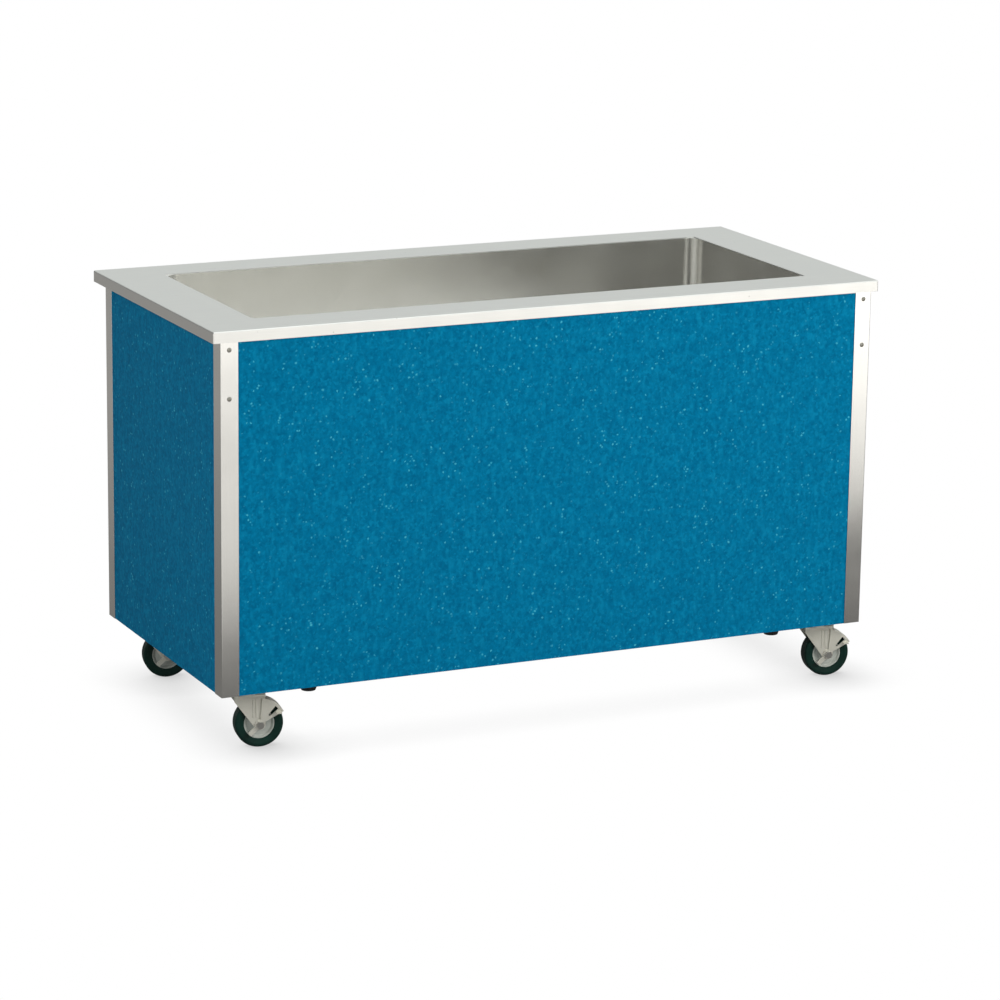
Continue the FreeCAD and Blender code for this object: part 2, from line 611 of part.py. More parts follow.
def make_top_rails():
    """Square-tube ring under the counter sheet."""
    rail_back = f"({INSIDE_BACK} - top_rail_wide)"
    rail_front = f"({INSIDE_FRONT} - top_rail_wide)"
    low = f"({COUNTER_UNDER} - top_rail_high)"
    wall = "top_rail_wall"
    for name, near_y, far_y in (("front_top_rail", f"-{INSIDE_FRONT}", f"-{rail_front}"),
                                ("back_top_rail", rail_back, INSIDE_BACK)):
        body = new_body(name)
        tube = new_sketch(body, "YZ_Plane", "tube")
        rectangle(tube, near_y, far_y, low, COUNTER_UNDER)
        rectangle(tube, f"{near_y} + {wall}", f"{far_y} - {wall}",
                  f"{low} + {wall}", f"{COUNTER_UNDER} - {wall}")
        pad(body, tube, f"2 * {INSIDE_END}", midplane=True)
        finish(body, name)
    inner = f"({INSIDE_END} - top_rail_wide)"
    for name, left, right in (("left_top_rail", f"-{INSIDE_END}", f"-{inner}"),
                              ("right_top_rail", inner, INSIDE_END)):
        body = new_body(name)
        tube = new_sketch(body, "XZ_Plane", "tube", rail_front)
        rectangle(tube, left, right, low, COUNTER_UNDER)
        rectangle(tube, f"{left} + {wall}", f"{right} - {wall}",
                  f"{low} + {wall}", f"{COUNTER_UNDER} - {wall}")
        pad(body, tube, f"{rail_front} + {rail_back}", reverse=True)
        finish(body, name)


def make_base():
    """Two caster bolsters, two long channels between them, and the storage shelf on top."""
    web = "(caster_high + bolster_gauge)"
    for name, end in (("left_bolster", -1), ("right_bolster", 1)):
        body = new_body(name)
        centre = f"{end} * {KINGPIN_X}"
        channel = new_sketch(body, "XZ_Plane", "channel", INSIDE_FRONT)
        left, right = f"({centre} - {BOLSTER_HALF})", f"({centre} + {BOLSTER_HALF})"
        polygon(channel, [
            (left, "caster_high"), (right, "caster_high"), (right, BASE_TOP),
            (f"{right} - bolster_gauge", BASE_TOP), (f"{right} - bolster_gauge", web),
            (f"{left} + bolster_gauge", web), (f"{left} + bolster_gauge", BASE_TOP),
            (left, BASE_TOP)])
        pad(body, channel, f"{INSIDE_FRONT} + {INSIDE_BACK}", reverse=True)
        holes = new_sketch(body, "XY_Plane", "bolt_holes", web)
        for kingpin_y in (f"-{KINGPIN_FRONT_Y}", KINGPIN_BACK_Y):
            for side_x in (-1, 1):
                for side_y in (-1, 1):
                    circle(holes, f"{centre} + {side_x} * bolt_across / 2",
                           f"{kingpin_y} + {side_y} * bolt_along / 2", "bolt_radius + bolt_hole_gap")
        pocket(body, holes)
        finish(body, name)
    gauge = "base_rail_gauge"
    for name, outer, sign in (("front_base_rail", f"-{INSIDE_FRONT}", 1),
                              ("back_base_rail", INSIDE_BACK, -1)):
        body = new_body(name)
        channel = new_sketch(body, "YZ_Plane", "channel")
        web_y, lip_y = f"{outer} + {sign} * {gauge}", f"{outer} + {sign} * base_rail_wide"
        polygon(channel, [
            (outer, "caster_high"), (lip_y, "caster_high"), (lip_y, f"caster_high + {gauge}"),
            (web_y, f"caster_high + {gauge}"), (web_y, f"{BASE_TOP} - {gauge}"),
            (lip_y, f"{BASE_TOP} - {gauge}"), (lip_y, BASE_TOP), (outer, BASE_TOP)])
        pad(body, channel, f"2 * {BOLSTER_INNER}", midplane=True)
        finish(body, name)
    shelf = new_body("bottom_shelf")
    deck = new_sketch(shelf, "XY_Plane", "deck", BASE_TOP)
    rectangle(deck, f"-{INSIDE_END}", INSIDE_END, f"-{INSIDE_FRONT}", INSIDE_BACK)
    circle(deck, "drain_across", "drain_back", "hose_hole_radius")
    pad(shelf, deck, "shelf_gauge")
    lip = new_sketch(shelf, "XY_Plane", "lip", "caster_high")
    lip_x = f"({BODY_END} - post_wide)"
    rectangle(lip, f"-{lip_x}", lip_x, INSIDE_BACK, f"{INSIDE_BACK} + shelf_gauge")
    pad(shelf, lip, "base_high + shelf_gauge")
    finish(shelf, "bottom_shelf")


def make_rest_pads():
    """Tapered black rubber pads under the front channel."""
    pads = []
    for name, end in (("left", -1), ("right", 1)):
        cone = doc.addObject("Part::Cone", f"{name}_rest_pad")
        bind(cone, "Radius1", "pad_foot_radius")
        bind(cone, "Radius2", "pad_top_radius")
        bind(cone, "Height", "pad_high")
        place(cone, f"{end} * pad_across", f"-({INSIDE_FRONT} - base_rail_wide / 2)",
              "caster_high - pad_high")
        pads.append(cone)
    group = doc.addObject("Part::Compound", "rest_pads")
    group.Links = pads
    finish(group, "rest_pads")


CORNERS = {
    "front_left": (f"-1 * {KINGPIN_X}", f"-1 * {KINGPIN_FRONT_Y}"),
    "front_right": (KINGPIN_X, f"-1 * {KINGPIN_FRONT_Y}"),
    "back_left": (f"-1 * {KINGPIN_X}", KINGPIN_BACK_Y),
    "back_right": (KINGPIN_X, KINGPIN_BACK_Y),
}


def make_caster_bolts():
    """Four hexagon bolts with nuts for each caster plate."""
    bolts = []
    for corner, (kingpin_x, kingpin_y) in CORNERS.items():
        for side_x in (-1, 1):
            for side_y in (-1, 1):
                name = f"{corner}_bolt_{len(bolts) % 4 + 1}"
                across = f"{kingpin_x} + {side_x} * bolt_across / 2"
                depth = f"{kingpin_y} + {side_y} * bolt_along / 2"
                nut_foot = f"({PLATE_UNDER} - bolt_nut_high)"
                head_seat = "(caster_high + bolster_gauge)"
                pieces = []
                for piece, high, start in (("head", "bolt_head_high", head_seat),
                                           ("nut", "bolt_nut_high", nut_foot)):
                    hexagon = doc.addObject("Part::Prism", f"{name}_{piece}")
                    bind(hexagon, "Circumradius", "bolt_flats / 2 / cos(30)")
                    bind(hexagon, "Height", high)
                    place(hexagon, across, depth, start)
                    pieces.append(hexagon)
                shank = doc.addObject("Part::Cylinder", f"{name}_shank")
                bind(shank, "Radius", "bolt_radius")
                bind(shank, "Height", f"{head_seat} + bolt_head_high / 2 - {nut_foot} + bolt_tip")
                place(shank, across, depth, f"{nut_foot} - bolt_tip")
                bolt = doc.addObject("Part::MultiFuse", name)
                bolt.Shapes = [*pieces, shank]
                bolts.append(bolt)
    group = doc.addObject("Part::Compound", "caster_bolts")
    group.Links = bolts
    finish(group, "caster_bolts")


def make_caster_plate(corner):
    """Top plate with bolt holes, ball cup and riveted kingpin."""
    body = new_body(f"{corner}_caster_plate")
    outline = new_sketch(body, "XY_Plane", "outline", PLATE_UNDER)
    rounded_rectangle(outline, "plate_across / 2", "plate_along / 2", "plate_round")
    for side_x in (-1, 1):
        for side_y in (-1, 1):
            circle(outline, f"{side_x} * bolt_across / 2", f"{side_y} * bolt_along / 2",
                   "bolt_radius + bolt_hole_gap")
    pad(body, outline, "plate_gauge")
    cup = new_sketch(body, "XZ_Plane", "cup")
    head_top = f"({CROWN_UNDER} - swivel_gap)"
    head_foot = f"({head_top} - kingpin_head_high)"
    lip_foot = f"({PLATE_UNDER} - cup_drop)"
    polygon(cup, [
        ("0", PLATE_UNDER), ("cup_radius", PLATE_UNDER), ("cup_radius", lip_foot),
        ("cup_radius - cup_wall", lip_foot), ("cup_radius - cup_wall", CUP_CEILING),
        ("kingpin_radius", CUP_CEILING), ("kingpin_radius", head_top),
        ("kingpin_head_radius", head_top), ("kingpin_head_radius", head_foot), ("0", head_foot)])
    revolve(body, cup)
    return body


def make_ball_race(corner):
    """Ring of bearing balls between the cup and the fork crown."""
    count = int(2 * math.pi * number("race_radius") / number("bearing_ball_pitch"))
    balls = []
    for index in range(count):
        ball = doc.addObject("Part::Sphere", f"{corner}_ball_{index + 1}")
        bind(ball, "Radius", "bearing_ball_radius")
        angle = 360 * index / count
        place(ball, f"race_radius * cos({angle})", f"race_radius * sin({angle})",
              f"{CROWN_TOP} + bearing_ball_radius + running_gap")
        balls.append(ball)
    race = doc.addObject("Part::Compound", f"{corner}_ball_race")
    race.Links = balls
    return race


def make_fork(corner):
    """Pressed fork: bent crown and legs, trimmed to the leg outline, with a round race seat."""
    body = new_body(f"{corner}_fork")
    section = new_sketch(body, "YZ_Plane", "section", "-fork_front")
    leg_foot = "(wheel_radius - boss_radius)"
    inside = "fork_inside / 2"
    polygon(section, [
        (f"-{FORK_OUTSIDE}", leg_foot), (f"-{FORK_OUTSIDE}", CROWN_TOP), (FORK_OUTSIDE, CROWN_TOP),
        (FORK_OUTSIDE, leg_foot), (inside, leg_foot), (inside, CROWN_UNDER),
        (f"-{inside}", CROWN_UNDER), (f"-{inside}", leg_foot)])
    pad(body, section, "fork_front + trail + boss_radius")
    outside, top = number(FORK_OUTSIDE), number(CROWN_TOP)
    inside_now, under = number(inside), number(CROWN_UNDER)
    fillet(body, "outer_bend", "fork_bend",
           lambda edge: runs_along(edge, (1, 0, 0)) and near(edge.CenterOfMass.z, top)
           and near(abs(edge.CenterOfMass.y), outside))
    fillet(body, "inner_bend", "fork_inner_bend",
           lambda edge: runs_along(edge, (1, 0, 0)) and near(edge.CenterOfMass.z, under)
           and near(abs(edge.CenterOfMass.y), inside_now))
    trim = new_sketch(body, "XZ_Plane", "trim")
    margin = "boss_radius"
    rectangle(trim, f"-fork_front - {margin}", f"trail + boss_radius + {margin}",
              f"{leg_foot} - {margin}", f"{CROWN_TOP} + {margin}")
    leg_outline(trim)
    pocket(body, trim, f"4 * {FORK_OUTSIDE}", midplane=True)
    crown = new_sketch(body, "XY_Plane", "crown", CROWN_UNDER)
    circle(crown, "0", "0", "crown_radius")
    pad(body, crown, "fork_gauge")
    pin_hole = new_sketch(body, "XY_Plane", "kingpin_hole", CROWN_TOP)
    circle(pin_hole, "0", "0", "kingpin_radius + running_gap")
    pocket(body, pin_hole, "2 * fork_gauge")
    axle_hole = new_sketch(body, "XZ_Plane", "axle_hole")
    circle(axle_hole, "trail", "wheel_radius", "axle_radius + running_gap")
    pocket(body, axle_hole, f"4 * {FORK_OUTSIDE}", midplane=True)
    return body


def leg_outline(sketch):
    """Leg seen from the side: straight rear edge, sloping front edge, round foot at the axle."""
    left, shoulder = -number("fork_front"), number(f"{CROWN_UNDER} - fork_shoulder")
    axle_x, axle_z, radius = number("trail"), number("wheel_radius"), number("boss_radius")
    above = number(f"{CROWN_TOP} + fork_gauge")
    reach = math.hypot(left - axle_x, shoulder - axle_z)
    slope = math.atan2(shoulder - axle_z, left - axle_x) + math.acos(radius / reach)
    touch = FreeCAD.Vector(axle_x + radius * math.cos(slope), axle_z + radius * math.sin(slope), 0)
    rear_foot = FreeCAD.Vector(axle_x + radius, axle_z, 0)
    first = sketch.GeometryCount
    whole = Part.Circle(FreeCAD.Vector(axle_x, axle_z, 0), FreeCAD.Vector(0, 0, 1), radius)
    spots = [touch, FreeCAD.Vector(left, shoulder, 0), FreeCAD.Vector(left, above, 0),
             FreeCAD.Vector(axle_x + radius, above, 0), rear_foot]
    for start, end in zip(spots, spots[1:]):
        sketch.addGeometry(Part.LineSegment(start, end), False)
    arc = sketch.addGeometry(Part.ArcOfCircle(whole, slope % (2 * math.pi), 2 * math.pi), False)
    for step in range(3):
        sketch.addConstraint(
            Sketcher.Constraint("Coincident", first + step, 2, first + step + 1, 1))
    sketch.addConstraint(Sketcher.Constraint("Tangent", first + 3, 2, arc, 2))
    sketch.addConstraint(Sketcher.Constraint("Tangent", arc, 1, first, 1))
    hold_point(sketch, arc, 3, "trail", "wheel_radius")
    hold_radius(sketch, arc, "boss_radius")
    hold_point(sketch, first, 2, "-fork_front", f"{CROWN_UNDER} - fork_shoulder")
    hold_point(sketch, first + 1, 2, "-fork_front", f"{CROWN_TOP} + fork_gauge")
    hold_point(sketch, first + 2, 2, "trail + boss_radius", f"{CROWN_TOP} + fork_gauge")


def make_axle(corner):
    """Axle bolt with its bearing sleeve and nut."""
    seat = AXLE_HEAD_SEAT
    pieces = []
    shank = doc.addObject("Part::Cylinder", f"{corner}_axle_shank")
    bind(shank, "Radius", "axle_radius")
    bind(shank, "Height", f"{seat} + {FORK_OUTSIDE} + axle_nut_high + axle_tip")
    place(shank, "trail", f"-{seat}", "wheel_radius", turn="-90", axis=(1, 0, 0))
    pieces.append(shank)
    sleeve = doc.addObject("Part::Cylinder", f"{corner}_axle_sleeve")
    bind(sleeve, "Radius", "sleeve_radius")
    bind(sleeve, "Height", "fork_inside")
    place(sleeve, "trail", "-fork_inside / 2", "wheel_radius", turn="-90", axis=(1, 0, 0))
    pieces.append(sleeve)
    for piece, high, start in (("head", "axle_head_high", f"-{seat} - axle_head_high"),
                               ("nut", "axle_nut_high", FORK_OUTSIDE)):
        hexagon = doc.addObject("Part::Prism", f"{corner}_axle_{piece}")
        bind(hexagon, "Circumradius", "axle_flats / 2 / cos(30)")
        bind(hexagon, "Height", high)
        place(hexagon, "trail", start, "wheel_radius", turn="-90", axis=(1, 0, 0))
        pieces.append(hexagon)
    axle = doc.addObject("Part::MultiFuse", f"{corner}_axle")
    axle.Shapes = pieces
    return axle


def make_hub(corner):
    """Wheel centre: bored boss, thin web and rim."""
    body = new_body(f"{corner}_hub")
    half = new_sketch(body, "XY_Plane", "half_section")
    rim = "(hub_radius - hub_rim_thick)"
    bore = "sleeve_radius + running_gap"
    polygon(half, [
        (bore, "-hub_boss_half_long"), ("hub_boss_radius", "-hub_boss_half_long"),
        ("hub_boss_radius", "-hub_web_half"), (rim, "-hub_web_half"), (rim, "-hub_half_wide"),
        ("hub_radius", "-hub_half_wide"), ("hub_radius", "hub_half_wide"), (rim, "hub_half_wide"),
        (rim, "hub_web_half"), ("hub_boss_radius", "hub_web_half"),
        ("hub_boss_radius", "hub_boss_half_long"), (bore, "hub_boss_half_long")])
    revolve(body, half)
    return body


def make_tyre(corner):
    """Rubber tread ring, fuller at its shoulders and rounded at the tread."""
    body = new_body(f"{corner}_tyre")
    half = new_sketch(body, "XY_Plane", "half_section")
    wide = "wheel_wide / 2"
    polygon(half, [
        ("hub_radius", "-tyre_foot_half"), ("tyre_bulge_radius", f"-{wide}"),
        ("wheel_radius", f"-{wide}"), ("wheel_radius", wide), ("tyre_bulge_radius", wide),
        ("hub_radius", "tyre_foot_half")])
    revolve(body, half)
    tread = number("wheel_radius")
    fillet(body, "tread_edges", "tread_round",
           lambda edge: hasattr(edge.Curve, "Radius") and near(edge.Curve.Radius, tread))
    return body


def make_brake(corner):
    """Foot brake lever on the axle: side plate with a hood over the tread, tail and pedal lip."""
    body = new_body(f"{corner}_brake")

    def polar(radius, angle):
        return f"{radius} * cos({angle})", f"{radius} * sin({angle})"

    def at(radius, angle):
        return FreeCAD.Vector(*[number(text) for text in polar(radius, angle)], 0)

    def sector(sketch, inner, outer, low, high):
        """A ring sector about the axle, between two radii and two angles."""
        first = sketch.GeometryCount
        angles = [math.radians(number(angle)) for angle in (low, high)]
        for radius in (inner, outer):
            whole = Part.Circle(FreeCAD.Vector(), FreeCAD.Vector(0, 0, 1), number(radius))
            sketch.addGeometry(Part.ArcOfCircle(whole, *angles), False)
        for angle in (low, high):
            sketch.addGeometry(Part.LineSegment(at(inner, angle), at(outer, angle)), False)
        for arc, radius in ((first, inner), (first + 1, outer)):
            sketch.addConstraint(Sketcher.Constraint("Coincident", arc, 3, -1, 1))
            hold_radius(sketch, arc, radius)
        for line, end, angle in ((first + 2, 1, low), (first + 3, 2, high)):
            sketch.addConstraint(Sketcher.Constraint("Coincident", line, 1, first, end))
            sketch.addConstraint(Sketcher.Constraint("Coincident", line, 2, first + 1, end))
            across = polar(outer, angle)[0]
            reach = sketch.addConstraint(
                Sketcher.Constraint("DistanceX", -1, 1, line, 2, number(across)))
            sketch.setExpression(f"Constraints[{reach}]", bound(across))
            sketch.addConstraint(Sketcher.Constraint("PointOnObject", -1, 1, line))

    cheek = new_sketch(body, "XZ_Plane", "cheek", BRAKE_FACE)
    sector(cheek, "brake_boss_radius / 2", HOOD_OUTER, "hood_low_angle", "cheek_high_angle")
    pad(body, cheek, "brake_gauge")
    boss = new_sketch(body, "XZ_Plane", "boss", BRAKE_FACE)
    circle(boss, "0", "0", "brake_boss_radius")
    pad(body, boss, "brake_gauge")
    tail = new_sketch(body, "XZ_Plane", "tail", BRAKE_FACE)
    tail_turn = "brake_tail_angle"
    corners = []
    for radius, side in (("0", -1), ("brake_tail_long", -1), ("brake_tail_long", 1), ("0", 1)):
        across = f"{radius} * cos({tail_turn}) - {side} * brake_tail_half * sin({tail_turn})"
        up = f"{radius} * sin({tail_turn}) + {side} * brake_tail_half * cos({tail_turn})"
        corners.append((across, up))
    polygon(tail, corners)
    pad(body, tail, "brake_gauge")
    window = new_sketch(body, "XZ_Plane", "window", BRAKE_FACE)
    sector(window, "window_inner", f"({HOOD_INNER} - window_margin)",
           "window_low_angle", "window_high_angle")
    pocket(body, window, "4 * brake_gauge", midplane=True)
    bore = new_sketch(body, "XZ_Plane", "bore", BRAKE_FACE)
    circle(bore, "0", "0", "axle_radius + running_gap")
    pocket(body, bore, "4 * brake_gauge", midplane=True)
    hood = new_sketch(body, "XZ_Plane", "hood", BRAKE_OUTSIDE)
    sector(hood, HOOD_INNER, HOOD_OUTER, "hood_low_angle", "hood_high_angle")
    pad(body, hood, f"{BRAKE_OUTSIDE} + hood_past_centre", reverse=True)
    pedal = new_sketch(body, "XZ_Plane", "pedal", BRAKE_FACE)
    low_across, low_up = polar(f"({HOOD_INNER} - window_margin)", "hood_low_angle")
    polygon(pedal, [
        (f"{low_across} - pedal_long", low_up), (low_across, low_up),
        (low_across, f"{low_up} + pedal_thick"),
        (f"{low_across} - pedal_long", f"{low_up} + pedal_thick")])
    pad(body, pedal, "brake_gauge + pedal_wide")
    return body


def make_casters():
    """Four identical swivel casters, each trailing the same way."""
    for corner, (kingpin_x, kingpin_y) in CORNERS.items():
        plate = make_caster_plate(corner)
        place(plate, kingpin_x, kingpin_y)
        finish(plate, f"{corner}_caster_plate")
        turning = "-caster_turn"
        for maker, piece in ((make_ball_race, "ball_race"), (make_fork, "fork"),
                             (make_axle, "axle")):
            made = maker(corner)
            place(made, kingpin_x, kingpin_y, turn=turning)
            finish(made, f"{corner}_{piece}")
        wheel_x = f"{kingpin_x} + trail * cos({turning})"
        wheel_y = f"{kingpin_y} + trail * sin({turning})"
        for maker, piece in ((make_hub, "hub"), (make_tyre, "tyre"), (make_brake, "brake")):
            made = maker(corner)
            place(made, wheel_x, wheel_y, "wheel_radius", turn=turning)
            finish(made, f"{corner}_{piece}")


def write_parts():
    """Checks every object, then writes one file for each sub-part."""
    doc.recompute()
    for thing in doc.Objects:
        if "Invalid" in thing.State or "Error" in thing.State:
            raise RuntimeError(f"{thing.Name} failed: {thing.State}")
    for thing in finished:
        if thing.Shape.isNull() or not thing.Shape.isValid() or thing.Shape.Volume <= 0:
            raise RuntimeError(f"{thing.Label} has no valid solid")
    os.makedirs("parts", exist_ok=True)
    for thing in finished:
        thing.Shape.exportStep(f"parts/{thing.Label}.step")
    print(f"{len(finished)} parts written")


make_counter_top()
make_well_liner()
make_well_insulation()
make_well_casing()
make_drain_fitting()
make_drain_locknut()
make_drain_strainer()
make_drain_valve()
make_posts()
make_panels()
make_post_screws()
make_top_rails()
make_base()
make_rest_pads()
make_caster_bolts()
make_casters()
write_parts()
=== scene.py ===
import json
import math

import bmesh
import bpy
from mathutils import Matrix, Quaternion, Vector


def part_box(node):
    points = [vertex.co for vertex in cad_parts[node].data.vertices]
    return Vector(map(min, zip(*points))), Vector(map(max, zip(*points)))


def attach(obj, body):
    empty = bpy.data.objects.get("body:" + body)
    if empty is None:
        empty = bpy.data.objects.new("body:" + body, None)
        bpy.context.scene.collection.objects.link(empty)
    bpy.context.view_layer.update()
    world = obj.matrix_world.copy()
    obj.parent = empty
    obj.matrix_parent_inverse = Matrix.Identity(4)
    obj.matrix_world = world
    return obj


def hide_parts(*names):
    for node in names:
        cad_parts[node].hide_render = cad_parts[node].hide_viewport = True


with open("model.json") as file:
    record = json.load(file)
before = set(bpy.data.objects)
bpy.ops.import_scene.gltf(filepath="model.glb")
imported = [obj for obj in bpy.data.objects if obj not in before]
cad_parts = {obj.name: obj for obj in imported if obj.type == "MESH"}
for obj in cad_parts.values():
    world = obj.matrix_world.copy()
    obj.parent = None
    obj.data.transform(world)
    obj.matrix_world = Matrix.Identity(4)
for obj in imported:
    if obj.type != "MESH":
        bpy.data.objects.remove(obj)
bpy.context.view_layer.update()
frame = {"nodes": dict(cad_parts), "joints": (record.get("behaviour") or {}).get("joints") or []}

# Looks of a mobile salad bar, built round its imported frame. Metres, +Z up, -Y is the front.

bl_info = {
    "name": "Mobile Salad Bar",
    "version": (1, 0, 0),
    "blender": (4, 5, 0),
    "location": "View3D > Sidebar > Salad Bar",
    "description": "Stainless counter with an ice well on a laminate cabinet with swivel casters",
    "category": "Object",
}

CORNERS = ("front_left", "front_right", "back_left", "back_right")
JOINTS = {joint["name"]: joint for joint in frame["joints"]}
MM = 0.001
NEXT_TO_NOTHING = MM / 100
ENDS = {"left": -1, "right": 1}


# ---------------------------------------------------------------- properties

def length(name, description, default):
    """A length that a user would change, in metres."""
    return bpy.props.FloatProperty(
        name=name, description=description, default=default, min=0, unit="LENGTH", precision=4)


def colour(name, description, default):
    """A colour that a user would change, as linear red, green and blue."""
    return bpy.props.FloatVectorProperty(
        name=name, description=description, default=default, min=0, max=1, size=3,
        subtype="COLOR")


class SaladBarSizes(bpy.types.PropertyGroup):
    sheet_edge: length("Sheet edge", "Rounding on cut sheet edges", 0.0004)
    laminate: length("Laminate", "Thickness of the laminate facing", 0.0012)
    chip: length("Laminate chip", "Width of one chip in the laminate's pattern", 0.0050)
    screw_recess: length("Screw recess", "Width of the cross recess's slots", 0.0013)
    tyre_groove: length("Tyre groove", "Depth of the tread's grooves", 0.0009)
    rib_high: length("Fork rib", "Height of the pressed rib on the fork legs", 0.0011)


class SaladBarFinishes(bpy.types.PropertyGroup):
    stainless: colour("Stainless", "Counter and trim", (0.80, 0.80, 0.775))
    laminate: colour("Laminate", "Ground colour of the laminate", (0.0003, 0.155, 0.303))
    laminate_light: colour("Light chips", "The laminate's light chips", (0.004, 0.228, 0.40))
    laminate_dark: colour("Dark chips", "The laminate's dark chips", (0.0003, 0.112, 0.232))
    speck: colour("Specks", "The laminate's bright specks", (0.04, 0.36, 0.50))
    rubber: colour("Tyre", "Tyre rubber", (0.002, 0.018, 0.013))
    hub: colour("Hub", "Wheel centre", (0.40, 0.425, 0.39))
    zinc: colour("Zinc", "Caster plating", (0.70, 0.69, 0.61))
    grip: colour("Grip", "Valve lever's vinyl grip", (0.35, 0.012, 0.010))


PROPERTY_GROUPS = {"salad_bar_sizes": SaladBarSizes, "salad_bar_finishes": SaladBarFinishes}


def sizes():
    return bpy.context.scene.salad_bar_sizes


def finishes():
    return bpy.context.scene.salad_bar_finishes


# ---------------------------------------------------------------- modelling helpers

def choose(*things):
    """Leaves only these objects selected, the first of them active."""
    bpy.ops.object.select_all(action="DESELECT")
    for thing in things:
        thing.select_set(True)
    bpy.context.view_layer.objects.active = things[0]


def edit(piece, action, select_mode="FACE"):
    """Runs a function of edit mode operators on one piece."""
    choose(piece)
    bpy.ops.object.mode_set(mode="EDIT")
    bpy.ops.mesh.select_mode(type=select_mode)
    action()
    bpy.ops.object.mode_set(mode="OBJECT")
    return piece


def add_modifier(piece, kind, **settings):
    """Adds a modifier and applies it."""
    choose(piece)
    modifier = piece.modifiers.new(kind.lower(), kind)
    for name, value in settings.items():
        setattr(modifier, name, value)
    bpy.ops.object.modifier_apply(modifier=modifier.name)
    return piece


def soften(piece, width, segments=2, angle=35):
    """Rounds the piece's sharp edges."""
    return add_modifier(
        piece, "BEVEL", width=width, segments=segments, limit_method="ANGLE",
        angle_limit=math.radians(angle), miter_outer="MITER_ARC", use_clamp_overlap=True)


def smooth(piece, angle=40):
    """Smooth shading across shallow angles, with flat faces kept flat."""
    choose(piece)
    bpy.ops.object.shade_smooth_by_angle(angle=math.radians(angle))
    return add_modifier(piece, "WEIGHTED_NORMAL", keep_sharp=True)


def settle(piece):
    """Applies the object's own place to its mesh."""
    choose(piece)
    bpy.ops.object.transform_apply(location=True, rotation=True, scale=True)
    return piece


def add_block(name, low, high):
    """A box between two corners."""
    low, high = Vector(low), Vector(high)
    bpy.ops.object.select_all(action="DESELECT")
    bpy.ops.mesh.primitive_cube_add(size=1, location=(low + high) / 2)
    piece = bpy.context.object
    piece.name = name
    piece.scale = high - low
    return settle(piece)


def turn_profile(name, profile, axis="Z", steps=64):
    """Spins a closed outline of (radius, height) points about an axis through the origin."""
    mesh = bpy.data.meshes.new(name)
    piece = bpy.data.objects.new(name, mesh)
    bpy.context.collection.objects.link(piece)
    outline = bmesh.new()
    spots = [outline.verts.new((radius, 0, height)) for radius, height in profile]
    for first, second in zip(spots, spots[1:] + spots[:1]):
        outline.edges.new((first, second))
    outline.to_mesh(mesh)
    outline.free()

    def spin():
        bpy.ops.mesh.select_all(action="SELECT")
        bpy.ops.mesh.spin(steps=steps, angle=2 * math.pi, center=(0, 0, 0), axis=(0, 0, 1))
        bpy.ops.mesh.select_all(action="SELECT")
        bpy.ops.mesh.remove_doubles(threshold=NEXT_TO_NOTHING)
        bpy.ops.mesh.normals_make_consistent(inside=False)

    edit(piece, spin, "VERT")
    if axis == "Y":
        piece.rotation_euler = (math.radians(-90), 0, 0)
        settle(piece)
    return piece


def arc_points(centre, radius, start, end, count):
    """Points on an arc in a profile, angles in degrees."""
    points = []
    for step in range(count + 1):
        angle = math.radians(start + (end - start) * step / count)
        points.append((centre[0] + radius * math.cos(angle), centre[1] + radius * math.sin(angle)))
    return points


def join(first, *others):
    """Joins the others into the first."""
    choose(first, *others)
    bpy.ops.object.join()
    return first


def copy_of(piece, name, shift):
    """A copy with its own mesh, moved over by a vector."""
    choose(piece)
    bpy.ops.object.duplicate(linked=False)
    copy = bpy.context.object
    copy.name = name
    copy.location = shift
    return settle(copy)


def copy_of_node(node, name):
    """A merged copy of a CAD node's mesh, to shape further."""
    choose(frame["nodes"][node])
    bpy.ops.object.duplicate(linked=False)
    piece = bpy.context.object
    piece.name = name
    piece.parent = None
    for key in [key for key in piece.keys() if key.startswith("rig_")]:
        del piece[key]
    bpy.ops.mesh.customdata_custom_splitnormals_clear()

    def merge():
        bpy.ops.mesh.select_all(action="SELECT")
        bpy.ops.mesh.remove_doubles(threshold=NEXT_TO_NOTHING)
        bpy.ops.mesh.tris_convert_to_quads(
            face_threshold=math.radians(0.5), shape_threshold=math.pi)

    return edit(piece, merge)


def wear(piece, *materials):
    """Gives a piece its materials, in the order of its material slots."""
    piece.data.materials.clear()
    for material in materials:
        piece.data.materials.append(material)
    return piece


def fit(piece, body, slot, *nodes):
    """Rides a finished piece on its body, in place of CAD nodes where any are named."""
    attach(piece, body)
    if nodes:
        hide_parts(*nodes)
    return piece


# ---------------------------------------------------------------- materials

def node_adder(tree):
    """A function that adds a node to this tree, with its settings and inputs."""
    def add(kind, settings=None, **inputs):
        node = tree.nodes.new(f"ShaderNode{kind}")
        for key, value in (settings or {}).items():
            setattr(node, key, value)
        for key, value in inputs.items():
            socket = node.inputs[int(key[1:])] if key[0] == "i" and key[1:].isdigit() \
                else node.inputs[key.replace("_", " ").title()]
            if isinstance(value, bpy.types.NodeSocket):
                tree.links.new(value, socket)
            else:
                socket.default_value = value
        return node

    return add


def new_material(name):
    """A material with its shader and its node adder."""
    material = bpy.data.materials.new(name)
    material.use_nodes = True
    tree = material.node_tree
    return material, tree.nodes["Principled BSDF"], node_adder(tree)


def rgba(values, scale=1.0):
    """A colour with its alpha, made darker or lighter by the scale."""
    return (*[min(1.0, value * scale) for value in values], 1)


def object_space(add, stretch=(1, 1, 1)):
    """Object coordinates, stretched along the axes."""
    spot = add("TexCoord").outputs["Object"]
    return add("Mapping", Vector=spot, Scale=stretch).outputs[0]


